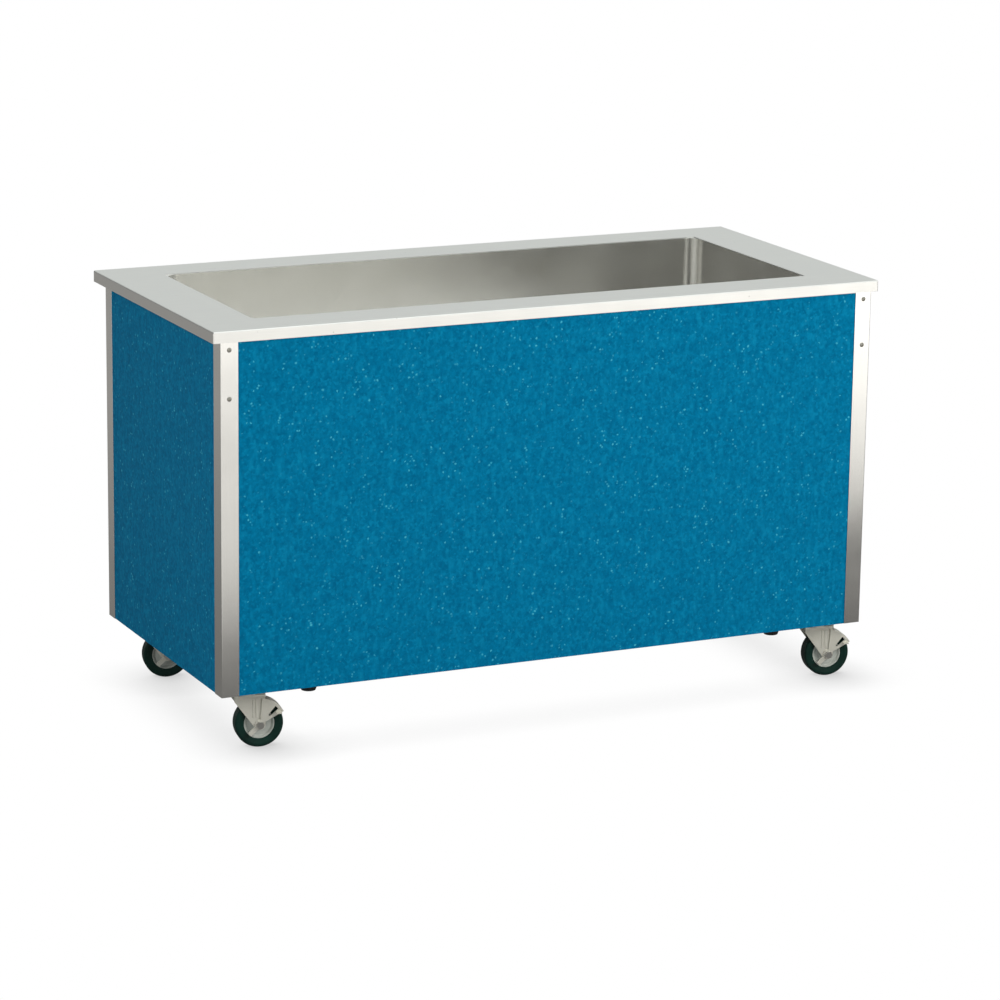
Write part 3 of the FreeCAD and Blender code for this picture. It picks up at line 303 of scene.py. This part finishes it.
def noise(add, space, scale, detail=2.0, rough=0.5):
    """A noise pattern's value."""
    return add("TexNoise", Vector=space, Scale=scale, Detail=detail, Roughness=rough).outputs[0]


def between(add, value, low, high, from_low=0.3, from_high=0.7, kind="LINEAR"):
    """A value stretched from its own range to another one."""
    return add("MapRange", {"interpolation_type": kind}, i0=value, i1=from_low, i2=from_high,
               i3=low, i4=high).outputs[0]


def sums(add, operation, *values):
    """The values taken together by one operation of the math node."""
    total = values[0]
    for value in values[1:]:
        total = add("Math", {"operation": operation}, i0=total, i1=value).outputs[0]
    return total


def mixed(add, factor, first, second):
    """Two colours mixed by a factor."""
    node = add("Mix", {"data_type": "RGBA"}, i0=factor, i6=first, i7=second)
    return node.outputs[2]


def bump(add, height, strength, distance):
    """A normal that follows a pattern's height."""
    return add("Bump", Height=height, Strength=strength, Distance=distance).outputs[0]


def link(material, source, socket):
    material.node_tree.links.new(source, socket)


def brushed_metal(name, tint, roughness, grain, metallic=1.0, grain_depth=0.12, spots=0.0):
    """Sheet metal with a fine grain, slow patches in its polish and, where asked, dark spots."""
    material, shader, add = new_material(name)
    fine = noise(add, object_space(add, grain), 1, 3, 0.6)
    slow = noise(add, object_space(add), 9, 3, 0.55)
    shade = mixed(add, between(add, slow, 0, 1), rgba(tint, 0.955), rgba(tint, 1.03))
    shade = mixed(add, between(add, fine, 0, 0.35), shade, rgba(tint, 0.88))
    if spots:
        cells = add("TexVoronoi", Vector=object_space(add), Scale=38.0)
        dots = between(add, cells.outputs["Distance"], 1, 0, 0.035, 0.06)
        patch = between(add, noise(add, object_space(add), 21, 1), 0, 1, 0.52, 0.58)
        shade = mixed(add, sums(add, "MULTIPLY", dots, patch, spots), shade, rgba(tint, 0.35))
    link(material, shade, shader.inputs["Base Color"])
    shader.inputs["Metallic"].default_value = metallic
    rough = between(add, slow, roughness * 0.85, roughness * 1.15)
    link(material, rough, shader.inputs["Roughness"])
    link(material, bump(add, fine, grain_depth, 0.0004), shader.inputs["Normal"])
    return material


def laminate():
    """Blue decorative laminate: soft chips of lighter and darker blue, and clustered specks."""
    material, shader, add = new_material("blue_laminate")
    kit, chip = finishes(), sizes().chip
    space = object_space(add)
    warp = add("TexNoise", Vector=space, Scale=0.7 / chip, Detail=2.0)
    drift = add("VectorMath", {"operation": "SCALE"}, i0=warp.outputs["Color"], i3=chip * 0.9)
    moved = add("VectorMath", {"operation": "ADD"}, i0=space, i1=drift.outputs[0]).outputs[0]
    chips = add("TexVoronoi", {"feature": "SMOOTH_F1"}, Vector=moved, Scale=1 / chip,
                Smoothness=0.35)
    pale = add("SeparateColor", i0=chips.outputs["Color"])
    haze = noise(add, moved, 0.55 / chip, 4, 0.62)
    shade = mixed(add, between(add, haze, 0, 1, 0.36, 0.66), rgba(kit.laminate_dark),
                  rgba(kit.laminate))
    light = between(add, pale.outputs[0], 0, 0.42, 0.55, 0.95)
    shade = mixed(add, light, shade, rgba(kit.laminate_light))
    dark = between(add, pale.outputs[1], 0, 0.45, 0.62, 0.97)
    shade = mixed(add, dark, shade, rgba(kit.laminate_dark, 0.9))
    streak = noise(add, object_space(add, (1, 1, 0.32)), 0.5 / chip, 2)
    shade = mixed(add, between(add, streak, 0, 0.32, 0.52, 0.70), shade, rgba(kit.laminate_light))
    fine = add("TexVoronoi", Vector=moved, Scale=1.0 / chip)
    bright = add("SeparateColor", i0=fine.outputs["Color"])
    core = between(add, fine.outputs["Distance"], 1, 0, 0.18, 0.70, "SMOOTHSTEP")
    pick = between(add, bright.outputs[2], 0, 1, 0.90, 0.97)
    cluster = between(add, noise(add, space, 0.16 / chip, 1), 0.05, 1, 0.46, 0.56)
    speck = sums(add, "MULTIPLY", core, pick, cluster)
    shade = mixed(add, speck, shade, rgba(kit.speck))
    link(material, shade, shader.inputs["Base Color"])
    shader.inputs["Specular IOR Level"].default_value = 0.02
    peel = noise(add, space, 900, 2)
    link(material, between(add, peel, 0.46, 0.56), shader.inputs["Roughness"])
    link(material, bump(add, peel, 0.08, 0.0002), shader.inputs["Normal"])
    return material


def board_core():
    """Plywood seen at its cut edges and on the inside: long grain and thin dark glue lines."""
    material, shader, add = new_material("plywood")
    grain = noise(add, object_space(add, (3, 3, 60)), 6, 5, 0.6)
    shade = mixed(add, between(add, grain, 0, 1), (0.42, 0.27, 0.14, 1), (0.60, 0.43, 0.26, 1))
    link(material, shade, shader.inputs["Base Color"])
    link(material, between(add, grain, 0.62, 0.8), shader.inputs["Roughness"])
    link(material, bump(add, grain, 0.25, 0.0005), shader.inputs["Normal"])
    return material


def backing_sheet():
    """Off-white backer on the inside of the boards."""
    material, shader, add = new_material("backer")
    slow = noise(add, object_space(add), 14, 3)
    shade = mixed(add, between(add, slow, 0, 1), (0.60, 0.60, 0.57, 1), (0.68, 0.68, 0.65, 1))
    link(material, shade, shader.inputs["Base Color"])
    peel = noise(add, object_space(add), 700, 2)
    link(material, between(add, peel, 0.42, 0.55), shader.inputs["Roughness"])
    link(material, bump(add, peel, 0.08, 0.0002), shader.inputs["Normal"])
    return material


def galvanised(name, tint, metallic=0.75):
    """Zinc-coated sheet with its spangle."""
    material, shader, add = new_material(name)
    space = object_space(add)
    spangle = add("TexVoronoi", Vector=space, Scale=95.0)
    grey = add("SeparateColor", i0=spangle.outputs["Color"])
    shade = mixed(add, grey.outputs[0], rgba(tint, 0.82), rgba(tint, 1.1))
    link(material, shade, shader.inputs["Base Color"])
    shader.inputs["Metallic"].default_value = metallic
    link(material, between(add, grey.outputs[1], 0.36, 0.56, 0, 1), shader.inputs["Roughness"])
    link(material, bump(add, noise(add, space, 240, 2), 0.1, 0.0003), shader.inputs["Normal"])
    return material


def moulded(name, tint, roughness, scale=500.0, depth=0.15, shift=0.25, shine=0.5):
    """Rubber, vinyl or plastic: a fine moulded skin with a little colour drift."""
    material, shader, add = new_material(name)
    space = object_space(add)
    slow = noise(add, space, 30, 3)
    shade = mixed(add, between(add, slow, 0, 1), rgba(tint, 1 - shift), rgba(tint, 1 + shift))
    link(material, shade, shader.inputs["Base Color"])
    skin = noise(add, space, scale, 3)
    link(material, between(add, skin, roughness * 0.85, roughness * 1.15),
         shader.inputs["Roughness"])
    link(material, bump(add, skin, depth, 0.0003), shader.inputs["Normal"])
    shader.inputs["Specular IOR Level"].default_value = shine
    return material


def foam():
    """Cut face of rigid foam, with open cells."""
    material, shader, add = new_material("rigid_foam")
    cells = add("TexVoronoi", Vector=object_space(add), Scale=420.0)
    shade = mixed(add, cells.outputs["Distance"], (0.70, 0.62, 0.40, 1), (0.86, 0.80, 0.58, 1))
    link(material, shade, shader.inputs["Base Color"])
    link(material, between(add, cells.outputs["Distance"], 0.8, 0.95, 0, 1),
         shader.inputs["Roughness"])
    link(material, bump(add, cells.outputs["Distance"], 0.4, 0.001), shader.inputs["Normal"])
    return material


MATERIALS = {}


def material(name):
    """The named material, made when it is first asked for."""
    if name not in MATERIALS:
        kit = finishes()
        makers = {
            "counter": lambda: brushed_metal(
                "brushed_counter", kit.stainless, 0.36, (6, 700, 700), spots=0.55),
            "well": lambda: brushed_metal(
                "brushed_well", (0.925, 0.915, 0.885), 0.22, (500, 500, 8), spots=0.4),
            "trim": lambda: brushed_metal("brushed_trim", kit.stainless, 0.20, (700, 700, 7)),
            "shelf": lambda: brushed_metal("brushed_shelf", kit.stainless, 0.38, (6, 700, 700)),
            "drain": lambda: brushed_metal("turned_steel", (0.66, 0.66, 0.64), 0.28, [300] * 3),
            "bolt": lambda: brushed_metal("bolt_steel", (0.60, 0.60, 0.57), 0.33, [400] * 3),
            "ball": lambda: brushed_metal("bearing_steel", (0.72, 0.72, 0.72), 0.15, [90] * 3),
            "brass": lambda: brushed_metal("cast_brass", (0.66, 0.47, 0.20), 0.36, [160] * 3),
            "zinc": lambda: brushed_metal("zinc_plate", kit.zinc, 0.34, [120] * 3, metallic=0.5),
            "screw": lambda: brushed_metal("screw_steel", (0.36, 0.35, 0.31), 0.4, [400] * 3),
            "laminate": laminate,
            "plywood": board_core,
            "backer": backing_sheet,
            "frame": lambda: galvanised("galvanised_frame", (0.50, 0.51, 0.51)),
            "casing": lambda: galvanised("galvanised_casing", (0.56, 0.57, 0.57)),
            "tyre": lambda: moulded("tyre_rubber", kit.rubber, 0.45, shine=0.22),
            "pad": lambda: moulded("pad_rubber", (0.006, 0.006, 0.006), 0.65),
            "hub": lambda: moulded("hub_plastic", kit.hub, 0.42, 350.0, 0.1, 0.08),
            "grip": lambda: moulded("vinyl_grip", kit.grip, 0.35, 600.0, 0.12, 0.12),
            "foam": foam,
        }
        MATERIALS[name] = makers[name]()
    return MATERIALS[name]


# ---------------------------------------------------------------- operators

class Maker(bpy.types.Operator):
    """Base for the operators that make one piece or a group of like pieces"""

    bl_options = {"REGISTER", "UNDO"}

    def execute(self, context):
        self.make()
        return {"FINISHED"}


class SALADBAR_OT_sheet_metal(Maker):
    """Stainless counter, well, corner posts and shelf, each with softened sheet edges"""

    bl_idname = "salad_bar.sheet_metal"
    bl_label = "Sheet metal"

    SHEETS = {
        "counter_top": ("counter", "stainless_counter"),
        "well_liner": ("well", "stainless_well"),
        "front_left_post": ("trim", "stainless_trim"),
        "front_right_post": ("trim", "stainless_trim"),
        "back_left_post": ("trim", "stainless_trim"),
        "back_right_post": ("trim", "stainless_trim"),
        "bottom_shelf": ("shelf", "stainless_trim"),
    }

    def make(self):
        for node, (finish, slot) in self.SHEETS.items():
            sheet = copy_of_node(node, f"{node}_sheet")
            soften(sheet, sizes().sheet_edge)
            wear(smooth(sheet), material(finish))
            fit(sheet, "root", slot, node)


class SALADBAR_OT_boards(Maker):
    """Three boards, each a plywood core with the laminate outside and a backer inside"""

    bl_idname = "salad_bar.boards"
    bl_label = "Laminate boards"

    def make(self):
        faces = {"front_panel": (1, -1), "left_panel": (0, -1), "right_panel": (0, 1)}
        for node, (across, outward) in faces.items():
            low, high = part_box(node)
            skin = sizes().laminate
            outside, inside = (low, high) if outward < 0 else (high, low)
            cuts = [outside[across], outside[across] - outward * skin,
                    inside[across] + outward * skin / 2, inside[across]]
            layers = []
            for layer, (start, end) in enumerate(zip(cuts, cuts[1:])):
                near, far = low.copy(), high.copy()
                near[across], far[across] = min(start, end), max(start, end)
                layers.append(add_block(f"{node}_layer_{layer}", near, far))
                soften(layers[-1], skin / 8, segments=1)
                wear(layers[-1], material(("laminate", "plywood", "backer")[layer]))
            board = join(*layers)
            board.name = node.replace("panel", "board")
            fit(board, "root", "blue_laminate_board", node)


class SALADBAR_OT_post_screws(Maker):
    """Truss-head screws with a cross recess, two in each front post"""

    bl_idname = "salad_bar.post_screws"
    bl_label = "Post screws"

    # the dome's outline as shares of the head's radius and height
    DOME = ((0.45, 0.93), (0.8, 0.66), (0.96, 0.3))
    SHANK_SHARE, SHANK_LONG = 0.5, 2 * MM
    RECESS_REACH, RECESS_FLOOR = 0.55, 0.25

    def make(self):
        low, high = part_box("post_screws")
        post_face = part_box("front_left_post")[0].y
        post_low, post_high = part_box("front_right_post")
        radius = high.x - (post_low.x + post_high.x) / 2
        tall = post_face - low.y
        dome = [(NEXT_TO_NOTHING, tall), *[(radius * out, tall * up) for out, up in self.DOME],
                (radius, 0), (radius * self.SHANK_SHARE, -self.SHANK_LONG),
                (NEXT_TO_NOTHING, -self.SHANK_LONG)]
        screw = turn_profile("post_screw", dome, "Z", 32)
        reach, half_slot = radius * self.RECESS_REACH, sizes().screw_recess / 2
        for across, up in ((reach, half_slot), (half_slot, reach)):
            cutter = add_block("recess", (-across, -up, tall * self.RECESS_FLOOR),
                               (across, up, tall * 2))
            add_modifier(screw, "BOOLEAN", object=cutter, operation="DIFFERENCE", solver="EXACT")
            bpy.data.objects.remove(cutter)
        screw.rotation_euler = (math.radians(90), 0, 0)
        settle(screw)
        smooth(wear(screw, material("screw")), 30)
        spots = [(end * (high.x - radius), up) for end in ENDS.values()
                 for up in (high.z - radius, low.z + radius)]
        made = [copy_of(screw, f"post_screw_{number}", (across, post_face, up))
                for number, (across, up) in enumerate(spots, start=1)]
        bpy.data.objects.remove(screw)
        group = join(*made)
        group.name = "post_screw_heads"
        fit(group, "root", "stainless_trim", "post_screws")


class SALADBAR_OT_framework(Maker):
    """Rails, bolsters and foam: CAD nodes that keep their shape and get their finish"""

    bl_idname = "salad_bar.framework"
    bl_label = "Framework"

    FINISHES = {
        "front_top_rail": "frame", "back_top_rail": "frame", "left_top_rail": "frame",
        "right_top_rail": "frame", "left_bolster": "frame", "right_bolster": "frame",
        "front_base_rail": "frame", "back_base_rail": "frame", "well_casing": "casing",
        "well_insulation": "foam", "valve_ball": "drain",
    }

    def make(self):
        for node, finish in self.FINISHES.items():
            wear(frame["nodes"][node], material(finish))


class SALADBAR_OT_drain(Maker):
    """Drain fitting, strainer, lock nut, valve, lever and outlet with softened edges"""

    bl_idname = "salad_bar.drain"
    bl_label = "Drain and valve"

    PIECES = {
        "drain_fitting": ("drain", "drain_steel", "root"),
        "drain_strainer": ("drain", "drain_steel", "root"),
        "drain_locknut": ("drain", "drain_steel", "root"),
        "valve_body": ("brass", "valve_brass", "root"),
        "drain_outlet": ("brass", "pipe_brass", "root"),
        "valve_lever": ("grip", "lever_vinyl", "valve_handle"),
    }
    GRIP_START = 33.9 * MM
    EDGE = 0.5 * MM

    def make(self):
        for node, (finish, slot, body) in self.PIECES.items():
            piece = smooth(soften(copy_of_node(node, f"{node}_detail"), self.EDGE))
            wear(piece, material(finish))
            if node == "valve_lever":
                wear(piece, material(finish), material("zinc"))
                for polygon in piece.data.polygons:
                    polygon.material_index = int(polygon.center.x < self.GRIP_START)
            fit(piece, body, slot, node)


class SALADBAR_OT_rest_pads(Maker):
    """Rubber rest pads with rounded edges"""

    bl_idname = "salad_bar.rest_pads"
    bl_label = "Rest pads"

    EDGE = 1.6 * MM

    def make(self):
        pads = copy_of_node("rest_pads", "rubber_rest_pads")
        soften(pads, self.EDGE, segments=3)
        wear(smooth(pads), material("pad"))
        fit(pads, "root", "pad_rubber", "rest_pads")


def wheel_centre(corner):
    """The middle of a caster's wheel."""
    return Vector(JOINTS[f"{corner}_wheel_spin"]["pos_m"])


def caster_turn():
    """How far the casters are turned about +Z at rest, from their wheels' axis."""
    axis = JOINTS["front_left_wheel_spin"]["axis"]
    return math.atan2(-axis[0], axis[1])


def seat_on_casters(pattern, name, slot, body, node=None):
    """Copies a pattern, made about a wheel's centre with its axle along Y, to each caster."""
    pattern.rotation_euler = (0, 0, caster_turn())
    settle(pattern)
    for corner in CORNERS:
        piece = copy_of(pattern, f"{corner}_{name}", wheel_centre(corner))
        nodes = [f"{corner}_{node}"] if node else []
        fit(piece, f"{corner}_{body}", slot, *nodes)
    bpy.data.objects.remove(pattern)


def caster_sizes():
    """The tyre's and the hub's radius, read from the frame's front left caster."""
    boxes = (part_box("front_left_tyre"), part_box("front_left_hub"))
    return [(high.z - low.z) / 2 for low, high in boxes]


class SALADBAR_OT_tyres(Maker):
    """Rubber tyres with grooved tread and a stepped side wall"""

    bl_idname = "salad_bar.tyres"
    bl_label = "Tyres"

    HALF_WIDE, SHOULDER_ROUND, GROOVE_PLACE = 15.875 * MM, 5 * MM, 6.5 * MM
    GROOVE_MOUTH, GROOVE_FLOOR = 1.1 * MM, 0.5 * MM

    def make(self):
        radius, seat = caster_sizes()
        half, round_ = self.HALF_WIDE, self.SHOULDER_ROUND
        floor = radius - sizes().tyre_groove
        side = [(seat, 13.5 * MM), (seat + 1.5 * MM, 14.2 * MM), (seat + 2.5 * MM, 14.0 * MM),
                (radius - 8.8 * MM, 15.6 * MM), (radius - 7.6 * MM, half)]
        shoulder = arc_points((radius - round_, half - round_), round_, 90, 0, 6)
        tread = [(radius, self.GROOVE_PLACE + self.GROOVE_MOUTH),
                 (floor, self.GROOVE_PLACE + self.GROOVE_FLOOR),
                 (floor, self.GROOVE_PLACE - self.GROOVE_FLOOR),
                 (radius, self.GROOVE_PLACE - self.GROOVE_MOUTH),
                 (radius, self.GROOVE_MOUTH), (floor, self.GROOVE_FLOOR)]
        right = side + shoulder + tread
        outline = right + [(across, -up) for across, up in reversed(right)]
        tyre = turn_profile("tyre", outline, "Y", 96)
        wear(smooth(tyre, 30), material("tyre"))
        seat_on_casters(tyre, "grooved_tyre", "tyre_rubber", "wheel", "tyre")


class SALADBAR_OT_hubs(Maker):
    """Wheel centres with a shallow dish between the rim and a bored boss"""

    bl_idname = "salad_bar.hubs"
    bl_label = "Wheel hubs"

    BORE, BOSS, BOSS_HALF_LONG = 7.55 * MM, 13 * MM, 17 * MM
    HALF_WIDE, WEB_HALF = 13 * MM, 8.5 * MM
    BOSS_EDGE, BOSS_FILLET, RIM_FILLET, RIM_WIDE = 1 * MM, 2 * MM, 3 * MM, 7 * MM

    def make(self):
        seat = caster_sizes()[1]
        boss, half, fillet, dish = self.BOSS, self.HALF_WIDE, self.BOSS_FILLET, self.RIM_FILLET
        side = [(self.BORE, self.BOSS_HALF_LONG), (boss - self.BOSS_EDGE, self.BOSS_HALF_LONG),
                (boss, self.BOSS_HALF_LONG - self.BOSS_EDGE),
                *arc_points((boss + fillet, self.WEB_HALF + fillet), fillet, 180, 270, 5),
                *arc_points((seat - self.RIM_WIDE, self.WEB_HALF + dish), dish, 270, 335, 5),
                (seat - 2.6 * MM, half - 0.5 * MM), (seat - 1.8 * MM, half), (seat, half)]
        outline = side + [(across, -up) for across, up in reversed(side)]
        hub = turn_profile("hub", outline, "Y", 96)
        wear(smooth(hub, 32), material("hub"))
        seat_on_casters(hub, "dished_hub", "hub_plastic", "wheel", "hub")


class SALADBAR_OT_caster_steel(Maker):
    """Top plates, forks, axles and brake levers with softened pressed edges"""

    bl_idname = "salad_bar.caster_steel"
    bl_label = "Caster steel"

    PIECES = {
        "caster_plate": ("zinc", "zinc_caster", "root", 0.5),
        "fork": ("zinc", "zinc_caster", "swivel", 0.6),
        "axle": ("bolt", "bolt_steel", "swivel", 0.5),
        "brake": ("zinc", "zinc_caster", "brake_lever", 0.5),
    }

    LEG_FACE, RIB_PLACES, RIB_WIDE = 21.5 * MM, (-16 * MM, -9 * MM), 5 * MM
    RIB_FOOT, RIB_HEAD = 15 * MM, 55 * MM
    BOLT_EDGE = 0.5 * MM

    def fork_ribs(self, corner):
        """Two pressed ribs down each outer face of a fork."""
        high = sizes().rib_high
        ribs = []
        for side in (-1, 1):
            near, far = sorted(side * (self.LEG_FACE + rise) for rise in (-high, high))
            for across in self.RIB_PLACES:
                rib = add_block("rib", (across, near, self.RIB_FOOT),
                                (across + self.RIB_WIDE, far, self.RIB_HEAD))
                soften(rib, high * 0.9, segments=3)
                rib.rotation_euler = (0, 0, caster_turn())
                settle(rib)
                rib.location = wheel_centre(corner)
                ribs.append(settle(rib))
        return ribs

    def make(self):
        for corner in CORNERS:
            for name, (finish, slot, body, edge) in self.PIECES.items():
                piece = copy_of_node(f"{corner}_{name}", f"{corner}_{name}_steel")
                soften(piece, edge * MM)
                if name == "fork":
                    join(piece, *self.fork_ribs(corner))
                wear(smooth(piece), material(finish))
                fit(piece, "root" if body == "root" else f"{corner}_{body}", slot,
                    f"{corner}_{name}")
            wear(frame["nodes"][f"{corner}_ball_race"], material("ball"))
        bolts = copy_of_node("caster_bolts", "plate_bolts")
        soften(bolts, self.BOLT_EDGE)
        wear(smooth(bolts), material("bolt"))
        fit(bolts, "root", "bolt_steel", "caster_bolts")


class SALADBAR_OT_stage(Maker):
    """Pale floor, soft lamps, white surroundings and the camera"""

    bl_idname = "salad_bar.stage"
    bl_label = "Stage"

    AZIMUTH, ELEVATION, ROLL = math.radians(-25.34), math.radians(14.03), math.radians(0.79)
    DISTANCE, TARGET = 8.423, Vector((0.040, 0, 0.389))
    LENS, SENSOR, FARTHEST = 139.3, 36, 100
    LAMPS = (
        ("key", 270, (2.4, -4.6, 3.6), 2.6, (1.0, 0.98, 0.95)),
        ("fill", 118, (-4.8, -2.2, 3.0), 3.0, (0.97, 0.99, 1.0)),
        ("top", 62, (0.3, 1.2, 4.6), 3.2, (1.0, 1.0, 1.0)),
    )
    WHITE, SKY_TINT, FLOOR_TINT = (1, 1, 1, 1), (0.965, 1.0, 0.985, 1), (1.0, 0.975, 0.94, 1)
    FLOOR_SIZE, FLOOR_PAINT, FLOOR_ROUGHNESS = 60, (0.80, 0.80, 0.80, 1), 0.9
    FILL_LIGHT = 0.16
    # how bright the floor is in reflections: two strengths, then the two places in metres
    FRONT_GLOW, FRONT_SLANT = (0.86, 0.03, -2.0, -0.75), 0.17
    RIGHT_GLOW = (1.0, 1.45, 1.45, 2.2)
    FAR_GLOW = (1.8, 1.0, -5.0, -3.4)
    BACK_GLOW = (0.19, 0.35, 0.3, 2.8)
    # the shadow round the wheels: its reach, its lean, then two shades and how open each spot is
    SHADOW_REACH, SHADOW_LEAN, SHADOW = 0.16, (-0.35, 0.30, 1.0), (0.60, 1.0, 0.30, 0.97)
    # how bright the surroundings are in reflections: two strengths, then two directions
    AHEAD, AHEAD_Y, AHEAD_Z = (0.76, 1.55, 0.72, 1.0), -0.7, 0.9
    RIGHT_SIDE = (0.05, 1.0, -0.47, -0.12)
    LEFT_SIDE = (0.6, 0.04, -0.85, -0.58)

    def make(self):
        self.add_floor()
        self.light_world()
        for lamp in self.LAMPS:
            self.add_lamp(*lamp)
        self.add_camera()

    def add_floor(self):
        bpy.ops.object.select_all(action="DESELECT")
        bpy.ops.mesh.primitive_plane_add(size=self.FLOOR_SIZE, location=(0, 0, 0))
        floor = bpy.context.object
        floor.name = "studio_floor"
        paint, shader, add = new_material("pale_floor")
        tree = paint.node_tree
        shader.inputs["Base Color"].default_value = self.FLOOR_PAINT
        shader.inputs["Roughness"].default_value = self.FLOOR_ROUGHNESS
        shader.inputs["Specular IOR Level"].default_value = 0.0
        paths = add("LightPath")
        place = add("SeparateXYZ", i0=add("TexCoord").outputs["Object"])
        slant = add("Math", {"operation": "MULTIPLY_ADD"}, i0=place.outputs["X"],
                    i1=self.FRONT_SLANT, i2=place.outputs["Y"]).outputs[0]
        front = between(add, slant, *self.FRONT_GLOW, "SMOOTHSTEP")
        rise = between(add, place.outputs["X"], *self.RIGHT_GLOW)
        far = between(add, place.outputs["Y"], *self.FAR_GLOW)
        back = between(add, place.outputs["Y"], *self.BACK_GLOW)
        seen = sums(add, "MAXIMUM", sums(add, "MULTIPLY", front, rise, far), back)
        glossy = add("Emission", i0=self.FLOOR_TINT, i1=seen)
        across, along, up = self.SHADOW_LEAN
        lean = add("CombineXYZ", i0=across, i1=along, i2=up)
        contact = add("AmbientOcclusion", {"samples": 16}, Distance=self.SHADOW_REACH,
                      Normal=lean.outputs[0])
        near = between(add, contact.outputs["AO"], *self.SHADOW)
        white = add("Emission", i0=self.WHITE, i1=near)
        ray = add("MixShader", i0=paths.outputs["Is Glossy Ray"], i1=shader.outputs[0],
                  i2=glossy.outputs[0])
        ray = add("MixShader", i0=paths.outputs["Is Transmission Ray"], i1=ray.outputs[0],
                  i2=glossy.outputs[0])
        ray = add("MixShader", i0=paths.outputs["Is Camera Ray"], i1=ray.outputs[0],
                  i2=white.outputs[0])
        tree.links.new(ray.outputs[0], tree.nodes["Material Output"].inputs["Surface"])
        wear(floor, paint)

    def light_world(self):
        """White to the camera, dim light, and reflections with a dark band on the left."""
        world = bpy.context.scene.world or bpy.data.worlds.new("studio")
        bpy.context.scene.world = world
        world.use_nodes = True
        tree = world.node_tree
        tree.nodes.clear()
        add = node_adder(tree)
        paths = add("LightPath")
        way = add("SeparateXYZ", i0=add("TexCoord").outputs["Generated"])
        overhead = sums(add, "MULTIPLY", way.outputs["Z"], self.AHEAD_Z)
        toward = add("Math", {"operation": "MULTIPLY_ADD"}, i0=way.outputs["Y"],
                     i1=self.AHEAD_Y, i2=overhead).outputs[0]
        ahead = between(add, toward, *self.AHEAD)
        right = between(add, way.outputs["X"], *self.RIGHT_SIDE)
        left = between(add, way.outputs["X"], *self.LEFT_SIDE)
        beside = sums(add, "MAXIMUM", right, left)
        fill = add("Background", i0=self.WHITE, i1=self.FILL_LIGHT)
        mirror = add("Background", i0=self.SKY_TINT, i1=sums(add, "MULTIPLY", ahead, beside))
        shown = add("Background", i0=self.WHITE, i1=1.0)
        mixture = add("MixShader", i0=paths.outputs["Is Glossy Ray"], i1=fill.outputs[0],
                      i2=mirror.outputs[0])
        mixture = add("MixShader", i0=paths.outputs["Is Camera Ray"], i1=mixture.outputs[0],
                      i2=shown.outputs[0])
        output = tree.nodes.new("ShaderNodeOutputWorld")
        tree.links.new(mixture.outputs[0], output.inputs["Surface"])

    def add_lamp(self, name, power, place, size, tint):
        bpy.ops.object.select_all(action="DESELECT")
        bpy.ops.object.light_add(type="AREA", location=place)
        lamp = bpy.context.object
        lamp.name = f"{name}_lamp"
        lamp.data.energy = power
        lamp.data.size = size
        lamp.data.color = tint
        aim = self.TARGET - Vector(place)
        lamp.rotation_mode = "QUATERNION"
        lamp.rotation_quaternion = aim.to_track_quat("-Z", "Y")
        lamp.visible_glossy = False

    def add_camera(self):
        bpy.ops.object.select_all(action="DESELECT")
        back = Vector((math.sin(self.AZIMUTH) * math.cos(self.ELEVATION),
                       -math.cos(self.AZIMUTH) * math.cos(self.ELEVATION),
                       math.sin(self.ELEVATION)))
        bpy.ops.object.camera_add(location=self.TARGET + back * self.DISTANCE)
        camera = bpy.context.object
        camera.name = "photo_camera"
        camera.data.lens = self.LENS
        camera.data.sensor_width = self.SENSOR
        camera.data.clip_end = self.FARTHEST
        camera.rotation_mode = "QUATERNION"
        level = (-back).to_track_quat("-Z", "Y")
        camera.rotation_quaternion = level @ Quaternion((0, 0, 1), self.ROLL)
        bpy.context.scene.camera = camera
        bpy.context.scene.view_settings.view_transform = "Standard"


OPERATORS = (
    SALADBAR_OT_sheet_metal, SALADBAR_OT_boards, SALADBAR_OT_post_screws,
    SALADBAR_OT_framework, SALADBAR_OT_drain, SALADBAR_OT_rest_pads, SALADBAR_OT_tyres,
    SALADBAR_OT_hubs, SALADBAR_OT_caster_steel, SALADBAR_OT_stage,
)


class SALADBAR_PT_pieces(bpy.types.Panel):
    """Lists the steps that build the salad bar"""

    bl_label = "Salad Bar"
    bl_idname = "SALADBAR_PT_pieces"
    bl_space_type = "VIEW_3D"
    bl_region_type = "UI"
    bl_category = "Salad Bar"

    def draw(self, context):
        for operator in OPERATORS:
            self.layout.operator(operator.bl_idname)
        for group in PROPERTY_GROUPS:
            box = self.layout.box()
            settings = getattr(context.scene, group)
            for name in settings.__annotations__:
                box.prop(settings, name)


CLASSES = (*PROPERTY_GROUPS.values(), *OPERATORS, SALADBAR_PT_pieces)


def register():
    for cls in CLASSES:
        bpy.utils.register_class(cls)
    for name, group in PROPERTY_GROUPS.items():
        setattr(bpy.types.Scene, name, bpy.props.PointerProperty(type=group))


def unregister():
    for name in PROPERTY_GROUPS:
        delattr(bpy.types.Scene, name)
    for cls in reversed(CLASSES):
        bpy.utils.unregister_class(cls)


def main():
    register()
    for operator in OPERATORS:
        group, name = operator.bl_idname.split(".")
        getattr(getattr(bpy.ops, group), name)()


if __name__ == "__main__":
    main()
